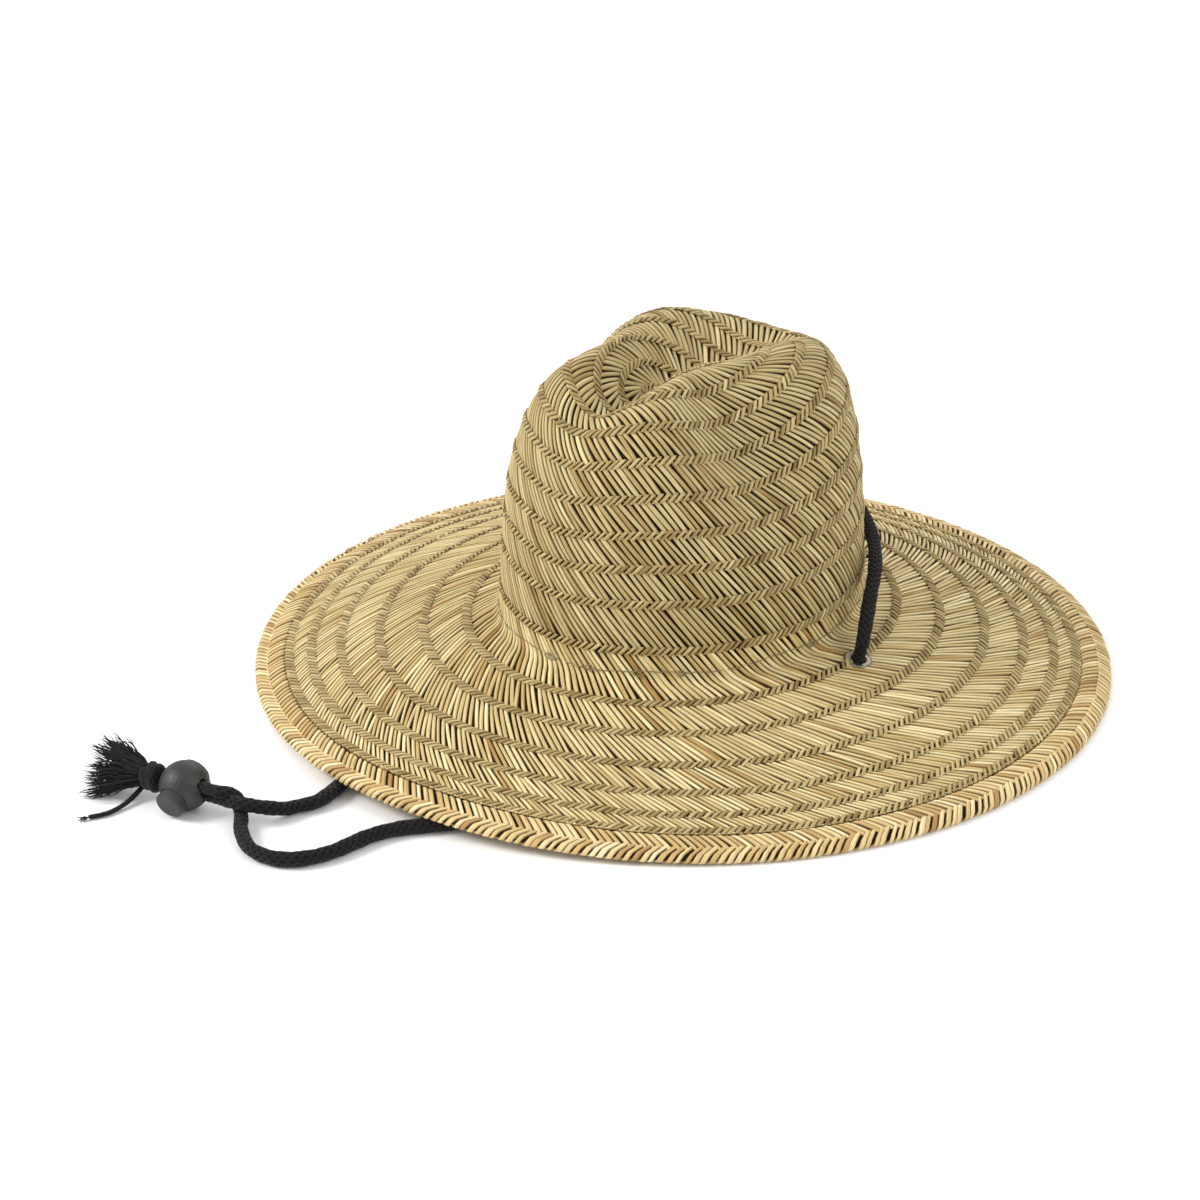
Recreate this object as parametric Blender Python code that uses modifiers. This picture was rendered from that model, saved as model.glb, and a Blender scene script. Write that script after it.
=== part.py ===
"""Woven straw sun hat with a chin cord and a sprung ball cord lock.

World frame: metres, +Z up, the hat stands on its brim edge on z = 0 and the
middle of the head opening is over the origin. The wearer's back is at the
azimuth BACK_DEG, and the crease in the crown runs from there to the front.
"""
import math

import bmesh
import bpy
import numpy as np
from mathutils import Matrix, Vector

# ---- driving dimensions: straw body ------------------------------------
BACK_DEG = 50.0            # azimuth of the wearer's back
HEAD_LONG = 0.1020         # crown wall, half length front to back
HEAD_WIDE = 0.0885         # crown wall, half width ear to ear
BASE_Z = 0.0320            # straw surface where crown turns into brim
CROWN_H = 0.1500           # crown height above that line
STRAW_T = 0.0024           # thickness of the woven straw
FILLET_R = 0.0060          # turn from crown wall to brim
CROWN_TAPER = 0.065
DOME_LONG = 4.9            # roundness exponents of the dome, along and across
DOME_WIDE = 2.9
CREASE_DEPTH = 0.0300
CREASE_WIDTH = 0.0285
CREASE_FRONT = -0.080
CREASE_BACK = 0.081
CREASE_EASE = 0.012
CREASE_TILT = 0.0257
PINCH_DEPTH = 0.0180
PINCH_AT = -0.030
PINCH_LONG = 0.030
PINCH_Z = 0.125
PINCH_TALL = 0.042
RIM_X = 0.2220             # rim half extents, world axes
RIM_Y = 0.2160
RIM_TOP_Z = 0.0034
LIFT_DEG = -129.0          # the brim rides up over the two cord strands here
LIFT_SPREAD_DEG = 26.0
LIFT_H = 0.0076
LIFT_OUT = 0.0070
BRAID_W = 0.0150           # wide edge plait
SEAM_GAP = 0.0003
TIP_AT = 0.46              # crown tip panel ends here on the 0..1 meridian
TIP_GAP = 0.0040           # share of the meridian that leaves the seam gap
BRIM_SPLIT = 0.50
FILLET_END = 0.85
BRIM_START = -0.0085
BRIM_GAP = 0.0030          # share of the brim width that leaves the seam gap
AROUND = 52

# ---- sweatband and seam -------------------------------------------------
BAND_H = 0.0260
BAND_T = 0.0012
BAND_Z = 0.0290
BAND_INSET = 0.0042        # clear of the tapering straw wall
THREAD_D = 0.0007
THREAD_Z = 0.0445

# ---- eyelets --------------------------------------------------------------
EYELET_DEG = 87.5          # eyelet's place, as an angle from the wearer's back
EYELET_OUT = 0.0195        # eyelet centre beyond the foot of the crown wall
EYELET_HOLE = 0.0078
EYELET_WALL = 0.0005
EYELET_FLANGE = 0.0150
EYELET_RIM_T = 0.0008
WASHER_D = 0.0146
WASHER_T = 0.0006

# ---- cord -------------------------------------------------------------------
CORD_D = 0.0060
CORD_IN_LOCK = 0.82        # the strands squeeze to this share inside the lock
STRAND_GAP = 0.0054        # strand spacing inside the lock
CORD_UNDER = 0.0090        # the cord runs straight through an eyelet from here
CORD_OVER = 0.0060         # to here

# ---- cord lock ----------------------------------------------------------------
LOCK_AT = Vector((-0.2390, -0.1632, 0.0125))
PRESS_DIR = Vector((-0.446, -0.834, -0.320)).normalized()
BALL_R = 0.0122
BORE_D = 0.0148
BORE_FLOOR = -0.0102
PLUNGER_D = 0.0142
PLUNGER_LOW = -0.0046
PLUNGER_TOP = 0.0146
LOCK_SLOT_W = 0.0126
LOCK_SLOT_H = 0.0062
PLUNGER_SLOT_LOW = -0.0031
PLUNGER_SLOT_TOP = 0.0062
SPRING_WIRE = 0.0008
SPRING_D = 0.0100
SPRING_TURNS = 2.5
KNOT_L = 0.0100
KNOT_R = 0.0078

for old in list(bpy.data.objects):
    bpy.data.objects.remove(old, do_unlink=True)

hat_group = bpy.data.collections.new("straw_sun_hat")
cutter_group = bpy.data.collections.new("cutters")
bpy.context.scene.collection.children.link(hat_group)
bpy.context.scene.collection.children.link(cutter_group)


# ---- materials ------------------------------------------------------------------
def material(name, rgb, rough, metal=0.0):
    mat = bpy.data.materials.new(name)
    mat.use_nodes = True
    shader = mat.node_tree.nodes["Principled BSDF"]
    shader.inputs["Base Color"].default_value = (*rgb, 1.0)
    shader.inputs["Roughness"].default_value = rough
    shader.inputs["Metallic"].default_value = metal
    return mat


# ---- object helpers -------------------------------------------------------------
def new_object(name, mesh, mat, group=hat_group):
    obj = bpy.data.objects.new(name, mesh)
    group.objects.link(obj)
    if mat is not None:
        obj.data.materials.append(mat)
    return obj


def mesh_from(name, verts, faces, edges=()):
    mesh = bpy.data.meshes.new(name)
    mesh.from_pydata([tuple(v) for v in verts], list(edges), faces)
    mesh.update()
    return mesh


def modifier(obj, kind, **values):
    mod = obj.modifiers.new(kind.title(), kind)
    for key, value in values.items():
        setattr(mod, key, value)
    return mod


def cut(obj, cutter):
    return modifier(obj, "BOOLEAN", object=cutter, operation="DIFFERENCE", solver="EXACT")


def as_cutter(obj):
    obj.hide_render = True
    obj.display_type = "WIRE"
    return obj


# ---- shape of the straw body ------------------------------------------------------
def oval(angle, half_long, half_wide):
    """Radius of an oval at the given angles."""
    return 1.0 / np.sqrt((np.cos(angle) / half_long) ** 2 + (np.sin(angle) / half_wide) ** 2)


def crown_point(angle, along):
    """Crown surface: angle from the wearer's back, along 0 at the tip, 1 at the wall foot."""
    power = DOME_WIDE + (DOME_LONG - DOME_WIDE) * np.cos(angle) ** 2
    turn = along * math.pi / 2
    rise = np.clip(np.cos(turn), 0, 1) ** (2 / power)
    reach = np.clip(np.sin(turn), 0, 1) ** (2 / power)
    radius = oval(angle, HEAD_LONG, HEAD_WIDE) * reach * (1 - CROWN_TAPER * rise)
    u = radius * np.cos(angle)
    v = radius * np.sin(angle)
    top = rise ** 3
    z = CROWN_H * rise + CREASE_TILT * u * top
    width = CREASE_WIDTH * (1 + u / 0.25)
    ease = 1 / (1 + np.exp((u - CREASE_BACK) / CREASE_EASE))
    ease = ease / (1 + np.exp((CREASE_FRONT - u) / CREASE_EASE))
    z = z - CREASE_DEPTH * np.exp(-((v / width) ** 2)) * ease * top
    side = np.clip(np.abs(v) / 0.05, 0, 1) ** 1.5
    pinch = np.exp(-((u - PINCH_AT) / PINCH_LONG) ** 2 - ((rise * CROWN_H - PINCH_Z) / PINCH_TALL) ** 2)
    v = v - np.sign(v) * PINCH_DEPTH * pinch * side
    return u, v, z + BASE_Z


def lift_at(azimuth):
    """Share of the brim lift at a world azimuth."""
    off = (azimuth - math.radians(LIFT_DEG) + math.pi) % (2 * math.pi) - math.pi
    return np.exp(-((off / math.radians(LIFT_SPREAD_DEG)) ** 2))


def brim_point(angle, out):
    """Brim top surface: out 0 at the crown fillet, 1 at the inner edge of the edge plait."""
    azimuth = angle + math.radians(BACK_DEG)
    foot = oval(angle, HEAD_LONG, HEAD_WIDE) + FILLET_R
    rim = oval(azimuth, RIM_X, RIM_Y) + LIFT_OUT * lift_at(azimuth) - BRAID_W
    radius = foot + (rim - foot) * out
    low = BASE_Z + (RIM_TOP_Z - BASE_Z) * (rim - foot) / (rim - foot + BRAID_W)
    z = BASE_Z + (low - BASE_Z) * out + LIFT_H * lift_at(azimuth) * out ** 2
    return radius * np.cos(angle), radius * np.sin(angle), z


def fillet_point(angle, part):
    """Quarter turn between crown wall and brim, part 0 on the wall, 1 on the brim."""
    foot = oval(angle, HEAD_LONG, HEAD_WIDE)
    radius = foot + FILLET_R * (1 - np.cos(part * math.pi / 2))
    z = BASE_Z + FILLET_R * (1 - np.sin(part * math.pi / 2))
    return radius * np.cos(angle), radius * np.sin(angle), z


def to_world(u, v, z):
    turn = math.radians(BACK_DEG)
    x = u * math.cos(turn) - v * math.sin(turn)
    y = u * math.sin(turn) + v * math.cos(turn)
    return np.stack([x, y, z], axis=-1)


def ring_strip(name, rings):
    """Surface through closed rings listed from inside to outside of the hat."""
    count = len(rings[0])
    verts = np.concatenate(rings)
    faces = []
    for row in range(len(rings) - 1):
        for col in range(count):
            after = (col + 1) % count
            a, b = row * count + col, row * count + after
            faces.append((a, a + count, b + count, b))
    return mesh_from(name, verts, faces)


def angles(count=AROUND):
    return np.linspace(0, 2 * math.pi, count, endpoint=False)


def normals(surface, ring, along):
    """Outward unit normals of a surface given as a function of angle and station."""
    step = 1e-4
    tangent = to_world(*surface(ring + step, along)) - to_world(*surface(ring - step, along))
    down = to_world(*surface(ring, along + step)) - to_world(*surface(ring, along - step))
    cross = np.cross(down, tangent)
    return cross / np.linalg.norm(cross, axis=1, keepdims=True)


def straw_panel(name, stations, mat):
    """Closed shell of the straw thickness through (surface, station) rings."""
    ring = angles()
    outer = []
    inner = []
    for surface, station in stations:
        along = np.full_like(ring, station)
        skin = to_world(*surface(ring, along))
        outer.append(skin)
        inner.append(skin - normals(surface, ring, along) * STRAW_T)
    mesh = ring_strip(name, outer + inner[::-1] + outer[:1])
    shape = bmesh.new()
    shape.from_mesh(mesh)
    bmesh.ops.remove_doubles(shape, verts=shape.verts, dist=1e-7)
    bmesh.ops.recalc_face_normals(shape, faces=shape.faces)
    shape.to_mesh(mesh)
    shape.free()
    return new_object(name, mesh, mat)


# ---- straw panels --------------------------------------------------------------------
def build_crown_tip(mat):
    """Creased top of the crown, closed at the middle of the weave."""
    ring = angles()
    outer = [to_world(*crown_point(np.zeros(1), np.zeros(1)))]
    inner = [outer[0] - np.array([0.0, 0.0, STRAW_T])]
    for station in np.linspace(0.06, TIP_AT, 10):
        along = np.full_like(ring, station)
        skin = to_world(*crown_point(ring, along))
        outer.append(skin)
        inner.append(skin - normals(crown_point, ring, along) * STRAW_T)
    verts = np.concatenate(outer + inner)
    half = len(verts) // 2
    faces = []
    for col in range(AROUND):
        after = (col + 1) % AROUND
        faces.append((0, 1 + col, 1 + after))
        faces.append((half, half + 1 + after, half + 1 + col))
        for row in range(9):
            a, b = 1 + row * AROUND + col, 1 + row * AROUND + after
            faces.append((a, a + AROUND, b + AROUND, b))
            faces.append((half + a, half + b, half + b + AROUND, half + a + AROUND))
        rim, rim_after = 1 + 9 * AROUND + col, 1 + 9 * AROUND + after
        faces.append((rim, half + rim, half + rim_after, rim_after))
    return new_object("crown_tip_weave", mesh_from("crown_tip_weave", verts, faces), mat)


def wall_steps(first):
    """Meridian stations down the wall, ending one fillet above the brim line."""
    last = math.acos((FILLET_R / CROWN_H) ** (DOME_WIDE / 2)) / (math.pi / 2) - 0.006
    return np.linspace(first, last, 9)


def build_crown_side(mat):
    stations = [(crown_point, s) for s in wall_steps(TIP_AT + TIP_GAP)]
    stations += [(fillet_point, part) for part in (0.0, 0.3, 0.6, FILLET_END)]
    return straw_panel("crown_side_weave", stations, mat)


def build_brim(name, start, stop, mat):
    stations = [(brim_point, out) for out in np.linspace(start, stop, 4)]
    return straw_panel(name, stations, mat)


def build_edge_braid(mat):
    """Wide plait that finishes the rim: a flat band with rounded long sides."""
    ring = angles()
    inner = np.stack(brim_point(ring, np.ones_like(ring)), axis=-1)
    out = np.stack([np.cos(ring), np.sin(ring), np.zeros_like(ring)], axis=-1)
    section = [(0.0, 0.0), (0.0009, 0.0008), (0.0075, 0.0009), (0.0138, 0.0006), (0.0150, -0.0006)]
    section += [(0.0150, -0.0026), (0.0138, -0.0036), (0.0075, -0.0036), (0.0009, -0.0032), (0.0, -0.0024)]
    drop = (RIM_TOP_Z - BASE_Z) / 0.125
    rings = []
    for reach, height in section:
        reach = reach * (BRAID_W - SEAM_GAP) / BRAID_W + SEAM_GAP
        point = inner + out * reach
        point[:, 2] += height + drop * reach
        rings.append(to_world(point[:, 0], point[:, 1], point[:, 2]))
    rings.append(rings[0])
    mesh = ring_strip("brim_edge_braid", rings)
    shape = bmesh.new()
    shape.from_mesh(mesh)
    bmesh.ops.remove_doubles(shape, verts=shape.verts, dist=1e-7)
    bmesh.ops.recalc_face_normals(shape, faces=shape.faces)
    shape.to_mesh(mesh)
    shape.free()
    return new_object("brim_edge_braid", mesh, mat)


# ---- bands that follow the head opening -------------------------------------------------
def build_sweatband(mat):
    """Upright elastic band just inside the foot of the crown wall."""
    ring = angles()
    outer = oval(ring, HEAD_LONG, HEAD_WIDE) - BAND_INSET
    rings = []
    top = BAND_Z + BAND_H
    for inset, z in ((0, top), (0, BAND_Z), (BAND_T, BAND_Z), (BAND_T, top), (0, top)):
        radius = outer - inset
        rings.append(to_world(radius * np.cos(ring), radius * np.sin(ring), np.full_like(ring, z)))
    mesh = ring_strip("sweatband", rings)
    shape = bmesh.new()
    shape.from_mesh(mesh)
    bmesh.ops.remove_doubles(shape, verts=shape.verts, dist=1e-7)
    bmesh.ops.recalc_face_normals(shape, faces=shape.faces)
    shape.to_mesh(mesh)
    shape.free()
    return new_object("sweatband", mesh, mat)


def build_thread(mat):
    """Clear thread that shows as a line around the foot of the crown."""
    ring = angles()
    reach = oval(ring, HEAD_LONG, HEAD_WIDE) + SEAM_GAP + THREAD_D / 2
    path = to_world(reach * np.cos(ring), reach * np.sin(ring), np.full_like(ring, THREAD_Z))
    curve = bpy.data.curves.new("sweatband_thread", "CURVE")
    curve.dimensions = "3D"
    spline = curve.splines.new("POLY")
    spline.points.add(len(path) - 1)
    for point, place in zip(spline.points, path):
        point.co = (*place, 1.0)
    spline.use_cyclic_u = True
    curve.bevel_depth = THREAD_D / 2
    curve.bevel_resolution = 0
    curve.use_fill_caps = True
    obj = bpy.data.objects.new("sweatband_thread", curve)
    hat_group.objects.link(obj)
    curve.materials.append(mat)
    return obj


# ---- round parts ------------------------------------------------------------------------
def revolve(name, profile, steps, mat, closed=True, group=hat_group):
    """Profile of (radius, height) pairs turned about the local Z axis."""
    verts = [(radius, 0.0, height) for radius, height in profile]
    edges = [(i, i + 1) for i in range(len(verts) - 1)]
    if closed:
        edges.append((len(verts) - 1, 0))
    obj = new_object(name, mesh_from(name, verts, [], edges), mat, group)
    modifier(obj, "SCREW", angle=2 * math.pi, steps=steps, render_steps=steps, use_merge_vertices=True,
             merge_threshold=1e-6, use_normal_calculate=False)
    return obj


def place(obj, point, z_axis, x_axis=None):
    """Put the object's origin at point with its Z (and X) axis as given."""
    z_axis = Vector(z_axis).normalized()
    guide = Vector(x_axis) if x_axis is not None else z_axis.orthogonal()
    y_axis = z_axis.cross(guide).normalized()
    x_axis = y_axis.cross(z_axis).normalized()
    turn = Matrix((x_axis, y_axis, z_axis)).transposed()
    obj.location = point
    obj.rotation_euler = turn.to_euler()
    return obj


def eyelet_frame(side):
    """Centre on the brim top and outward normal for the eyelet on one side."""
    angle = np.full(1, side * math.radians(EYELET_DEG))
    foot = float(oval(angle, HEAD_LONG, HEAD_WIDE)[0])
    azimuth = angle + math.radians(BACK_DEG)
    rim = float((oval(azimuth, RIM_X, RIM_Y) - BRAID_W)[0])
    out = (EYELET_OUT - FILLET_R) / (rim - foot - FILLET_R)
    centre = Vector(to_world(*brim_point(angle, np.full(1, out)))[0])
    farther = Vector(to_world(*brim_point(angle, np.full(1, out + 0.05)))[0])
    slope = (farther - centre).normalized()
    around = Vector((0, 0, 1)).cross(slope).normalized()
    return centre, slope.cross(around).normalized()


def build_eyelet(name, washer_name, side, mat, washer_mat):
    centre, normal = eyelet_frame(side)
    hole, flange = EYELET_HOLE / 2, EYELET_FLANGE / 2
    outer = hole + EYELET_WALL
    low = -STRAW_T - WASHER_T - 2 * SEAM_GAP - 0.0004
    top = SEAM_GAP + EYELET_RIM_T
    profile = [(hole, top * 0.8), (hole + 0.0007, top), (flange - 0.0012, top), (flange, SEAM_GAP + 0.0003)]
    profile += [(flange, SEAM_GAP), (outer, SEAM_GAP), (outer, low), (hole, low)]
    eyelet = place(revolve(name, profile, 28, mat), centre, normal)
    inner, outside = outer + SEAM_GAP, WASHER_D / 2
    high = -STRAW_T - SEAM_GAP
    ring = [(inner, high), (outside - 0.0003, high), (outside, high - WASHER_T / 2)]
    ring += [(outside - 0.0004, high - WASHER_T), (inner, high - WASHER_T)]
    washer = place(revolve(washer_name, ring, 28, washer_mat), centre, normal)
    return eyelet, washer


def brim_hole(side):
    centre, normal = eyelet_frame(side)
    radius = EYELET_HOLE / 2 + EYELET_WALL + SEAM_GAP
    profile = [(0.0, 0.01), (radius, 0.01), (radius, -0.01), (0.0, -0.01)]
    drill = revolve("brim_hole", profile, 28, None, closed=False, group=cutter_group)
    return as_cutter(place(drill, centre, normal))


# ---- chin cord ---------------------------------------------------------------------------
def lock_axes():
    """Press axis, cord axis and the axis across both, of the cord lock."""
    level = Vector((0.882, -0.472, 0.0))
    along = (level - PRESS_DIR * level.dot(PRESS_DIR)).normalized()
    return PRESS_DIR, along, PRESS_DIR.cross(along)


def in_lock(along, across, up=0.0):
    press, run, side = lock_axes()
    return LOCK_AT + run * along + side * across + press * up


def wall_point(azimuth_deg, off, z):
    """Point outside the crown wall at a world azimuth."""
    angle = math.radians(azimuth_deg - BACK_DEG)
    radius = float(oval(np.full(1, angle), HEAD_LONG, HEAD_WIDE)[0]) + off
    azimuth = math.radians(azimuth_deg)
    return Vector((radius * math.cos(azimuth), radius * math.sin(azimuth), z))


def polar(azimuth_deg, radius, z):
    azimuth = math.radians(azimuth_deg)
    return Vector((radius * math.cos(azimuth), radius * math.sin(azimuth), z))


def smooth_route(points, spacing):
    """Even stations along a Catmull-Rom curve through the route points."""
    pts = np.array([tuple(p) for p in points])
    ends = np.vstack([2 * pts[0] - pts[1], pts, 2 * pts[-1] - pts[-2]])
    t = np.linspace(0, 1, 24, endpoint=False)[:, None]
    pieces = []
    for a, b, c, d in zip(ends[:-3], ends[1:-2], ends[2:-1], ends[3:]):
        pieces.append(0.5 * (2 * b + (c - a) * t + (2 * a - 5 * b + 4 * c - d) * t ** 2
                             + (3 * b - a - 3 * c + d) * t ** 3))
    fine = np.vstack(pieces + [pts[-1:]])
    run = np.concatenate([[0], np.cumsum(np.linalg.norm(np.diff(fine, axis=0), axis=1))])
    count = max(2, int(round(run[-1] / spacing)) + 1)
    at = np.linspace(0, run[-1], count)
    return np.stack([np.interp(at, run, fine[:, k]) for k in range(3)], axis=-1)


def right_strand_route():
    """From the knot through the lock, over the table and under the brim to the right eyelet."""
    ground = CORD_D / 2
    half = STRAND_GAP / 2
    right, up = eyelet_frame(-1)
    route = [in_lock(-0.0120, half), in_lock(0.0, half), in_lock(0.0210, half)]
    route += [Vector((-0.2142, -0.1690, 0.0095)), Vector((-0.2112, -0.1775, 0.0040))]
    route += [Vector((-0.2100, -0.1900, ground)), Vector((-0.2030, -0.2080, ground))]
    route += [Vector((-0.1870, -0.2165, ground)), Vector((-0.1680, -0.2110, ground))]
    route += [Vector((-0.1460, -0.1930, ground)), Vector((-0.1200, -0.1850, ground))]
    route += [polar(-108, 0.186, ground), polar(-90, 0.172, ground), polar(-72, 0.163, ground)]
    route += [polar(-56, 0.150, ground + 0.001), polar(-45, 0.130, 0.0075)]
    return route + [right - up * 0.0160, right - up * CORD_UNDER]


def back_route():
    """Up from the right eyelet, round the back of the crown, down into the left eyelet."""
    right, right_up = eyelet_frame(-1)
    left, left_up = eyelet_frame(1)
    route = [right + right_up * CORD_OVER, right + right_up * 0.0110]
    route += [wall_point(-26, 0.0135, 0.0510), wall_point(-10, 0.0075, 0.0590)]
    route += [wall_point(10, 0.0036, 0.0620), wall_point(30, 0.0034, 0.0660)]
    route += [wall_point(50, 0.0034, 0.0675), wall_point(70, 0.0034, 0.0660)]
    route += [wall_point(90, 0.0036, 0.0620), wall_point(110, 0.0075, 0.0590)]
    route += [wall_point(126, 0.0135, 0.0510), left + left_up * 0.0110]
    return route + [left + left_up * CORD_OVER]


def left_strand_route():
    """From the left eyelet under the brim and over the table to the lock and the knot."""
    ground = CORD_D / 2
    half = STRAND_GAP / 2
    left, up = eyelet_frame(1)
    route = [left - up * CORD_UNDER, left - up * 0.0160]
    route += [polar(145, 0.130, 0.0075), polar(158, 0.150, ground + 0.001), polar(175, 0.170, ground)]
    route += [polar(-170, 0.180, ground), polar(-154, 0.192, ground), polar(-142, 0.205, ground)]
    route += [Vector((-0.1740, -0.1600, ground)), Vector((-0.1880, -0.1690, 0.0036))]
    route += [Vector((-0.2010, -0.1775, 0.0090)), Vector((-0.2115, -0.1775, 0.0112))]
    route += [in_lock(0.0210, -half), in_lock(0.0, -half)]
    return route + [in_lock(-0.0120, -half)]


def build_cord(mat):
    spacing = CORD_D * 2.75
    parts = [smooth_route(route(), spacing) for route in (right_strand_route, back_route, left_strand_route)]
    path = np.vstack(parts)
    curve = bpy.data.curves.new("chin_cord", "CURVE")
    curve.dimensions = "3D"
    spline = curve.splines.new("POLY")
    spline.points.add(len(path) - 1)
    lock = np.array(tuple(LOCK_AT))
    for point, place_at in zip(spline.points, path):
        point.co = (*place_at, 1.0)
        point.radius = CORD_IN_LOCK if np.linalg.norm(place_at - lock) < BALL_R + 0.011 else 1.0
    curve.bevel_depth = CORD_D / 2
    curve.bevel_resolution = 2
    curve.use_fill_caps = True
    obj = bpy.data.objects.new("chin_cord", curve)
    hat_group.objects.link(obj)
    curve.materials.append(mat)
    modifier(obj, "WELD", merge_threshold=1e-6)
    return obj


# ---- cord lock -----------------------------------------------------------------------------
def arc(radius, start_deg, stop_deg, count):
    turn = np.radians(np.linspace(start_deg, stop_deg, count))
    return [(radius * math.cos(a), radius * math.sin(a)) for a in turn]


def slot_cutter(name, low, high, width, length):
    """Block along the cord axis that opens a slot with eased corners."""
    shape = bmesh.new()
    bmesh.ops.create_cube(shape, size=1.0)
    bmesh.ops.scale(shape, vec=(length, width, high - low), verts=shape.verts)
    bmesh.ops.translate(shape, vec=(0, 0, (high + low) / 2), verts=shape.verts)
    mesh = bpy.data.meshes.new(name)
    shape.to_mesh(mesh)
    shape.free()
    obj = new_object(name, mesh, None, cutter_group)
    modifier(obj, "BEVEL", width=0.0016, segments=2, limit_method="ANGLE")
    return as_cutter(obj)


def lock_place(obj):
    press, run, _ = lock_axes()
    return place(obj, LOCK_AT, press, run)


def build_lock(ball_mat, plunger_mat, spring_mat):
    mouth = math.degrees(math.acos(BORE_D / 2 / BALL_R))
    bore = BORE_D / 2
    profile = [(bore, BALL_R * math.sin(math.radians(mouth)))]
    profile += arc(BALL_R, mouth - 6, -84, 15)
    profile += [(0.0, -BALL_R), (0.0, BORE_FLOOR), (bore, BORE_FLOOR)]
    ball = lock_place(revolve("lock_ball", profile, 32, ball_mat))
    ball_slot = slot_cutter("ball_slot", -LOCK_SLOT_H / 2, LOCK_SLOT_H / 2, LOCK_SLOT_W, 0.04)
    cut(ball, lock_place(ball_slot))
    r = PLUNGER_D / 2
    profile = [(0.0, PLUNGER_TOP), (r - 0.0008, PLUNGER_TOP), (r, PLUNGER_TOP - 0.0008)]
    profile += [(r, PLUNGER_LOW), (0.0, PLUNGER_LOW)]
    plunger = lock_place(revolve("lock_button", profile, 32, plunger_mat, closed=False))
    slot = slot_cutter("button_slot", PLUNGER_SLOT_LOW, PLUNGER_SLOT_TOP, LOCK_SLOT_W - 0.0002, 0.03)
    cut(plunger, lock_place(slot))
    return ball, plunger, build_spring(spring_mat)


def build_spring(mat):
    low = BORE_FLOOR + SEAM_GAP + SPRING_WIRE / 2
    high = PLUNGER_LOW - SEAM_GAP - SPRING_WIRE / 2
    count = int(SPRING_TURNS * 14) + 1
    turn = np.linspace(0, SPRING_TURNS * 2 * math.pi, count)
    curve = bpy.data.curves.new("lock_spring", "CURVE")
    curve.dimensions = "3D"
    spline = curve.splines.new("POLY")
    spline.points.add(count - 1)
    for point, a, z in zip(spline.points, turn, np.linspace(low, high, count)):
        point.co = (SPRING_D / 2 * math.cos(a), SPRING_D / 2 * math.sin(a), z, 1.0)
    curve.bevel_depth = SPRING_WIRE / 2
    curve.bevel_resolution = 1
    curve.use_fill_caps = True
    obj = bpy.data.objects.new("lock_spring", curve)
    hat_group.objects.link(obj)
    curve.materials.append(mat)
    modifier(obj, "WELD", merge_threshold=1e-6)
    return lock_place(obj)


# ---- knot and frayed ends ----------------------------------------------------------------------
def build_knot(mat):
    shape = bmesh.new()
    bmesh.ops.create_icosphere(shape, subdivisions=2, radius=1.0)
    for vert in shape.verts:
        lobe = 1 + 0.06 * math.sin(3 * math.atan2(vert.co.y, vert.co.z) + 2 * vert.co.x)
        vert.co = Vector((vert.co.x * KNOT_L / 2, vert.co.y * KNOT_R * lobe, vert.co.z * KNOT_R * lobe))
    mesh = bpy.data.meshes.new("cord_knot")
    shape.to_mesh(mesh)
    shape.free()
    knot = new_object("cord_knot", mesh, mat)
    press, run, _ = lock_axes()
    centre = in_lock(-(BALL_R + SEAM_GAP + KNOT_L / 2 + 0.0003), 0.0)
    return place(knot, centre, press, run)


def build_fray(name, tip, spread, mat, start_up):
    """Fanned yarn ends: a blunt cone from the knot to the tips."""
    _, run, side = lock_axes()
    start = in_lock(-(BALL_R + 0.0012 + KNOT_L), 0.0) + Vector((0, 0, start_up))
    reach = (tip - start).length
    profile = [(0.0, 0.0), (0.0022, 0.0004), (spread * 0.75, reach * 0.55), (spread, reach * 0.9)]
    profile += [(spread * 0.6, reach), (0.0, reach)]
    profile = [(radius, height) for radius, height in reversed(profile)]
    return place(revolve(name, profile, 14, mat, closed=False), start, tip - start)


def build_yarn(mat):
    """One plaited yarn that hangs loose from the frayed ends and lies on the table."""
    points = [Vector((-0.2655, -0.1590, 0.0030)), Vector((-0.2700, -0.1650, 0.0014))]
    points += [Vector((-0.2755, -0.1705, 0.0010)), Vector((-0.2835, -0.1740, 0.0010))]
    path = smooth_route(points, 0.0022)
    curve = bpy.data.curves.new("loose_yarn", "CURVE")
    curve.dimensions = "3D"
    spline = curve.splines.new("POLY")
    spline.points.add(len(path) - 1)
    for point, place_at in zip(spline.points, path):
        point.co = (*place_at, 1.0)
    curve.bevel_depth = 0.0009
    curve.bevel_resolution = 1
    curve.use_fill_caps = True
    obj = bpy.data.objects.new("loose_yarn", curve)
    hat_group.objects.link(obj)
    curve.materials.append(mat)
    modifier(obj, "WELD", merge_threshold=1e-6)
    return obj


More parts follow.
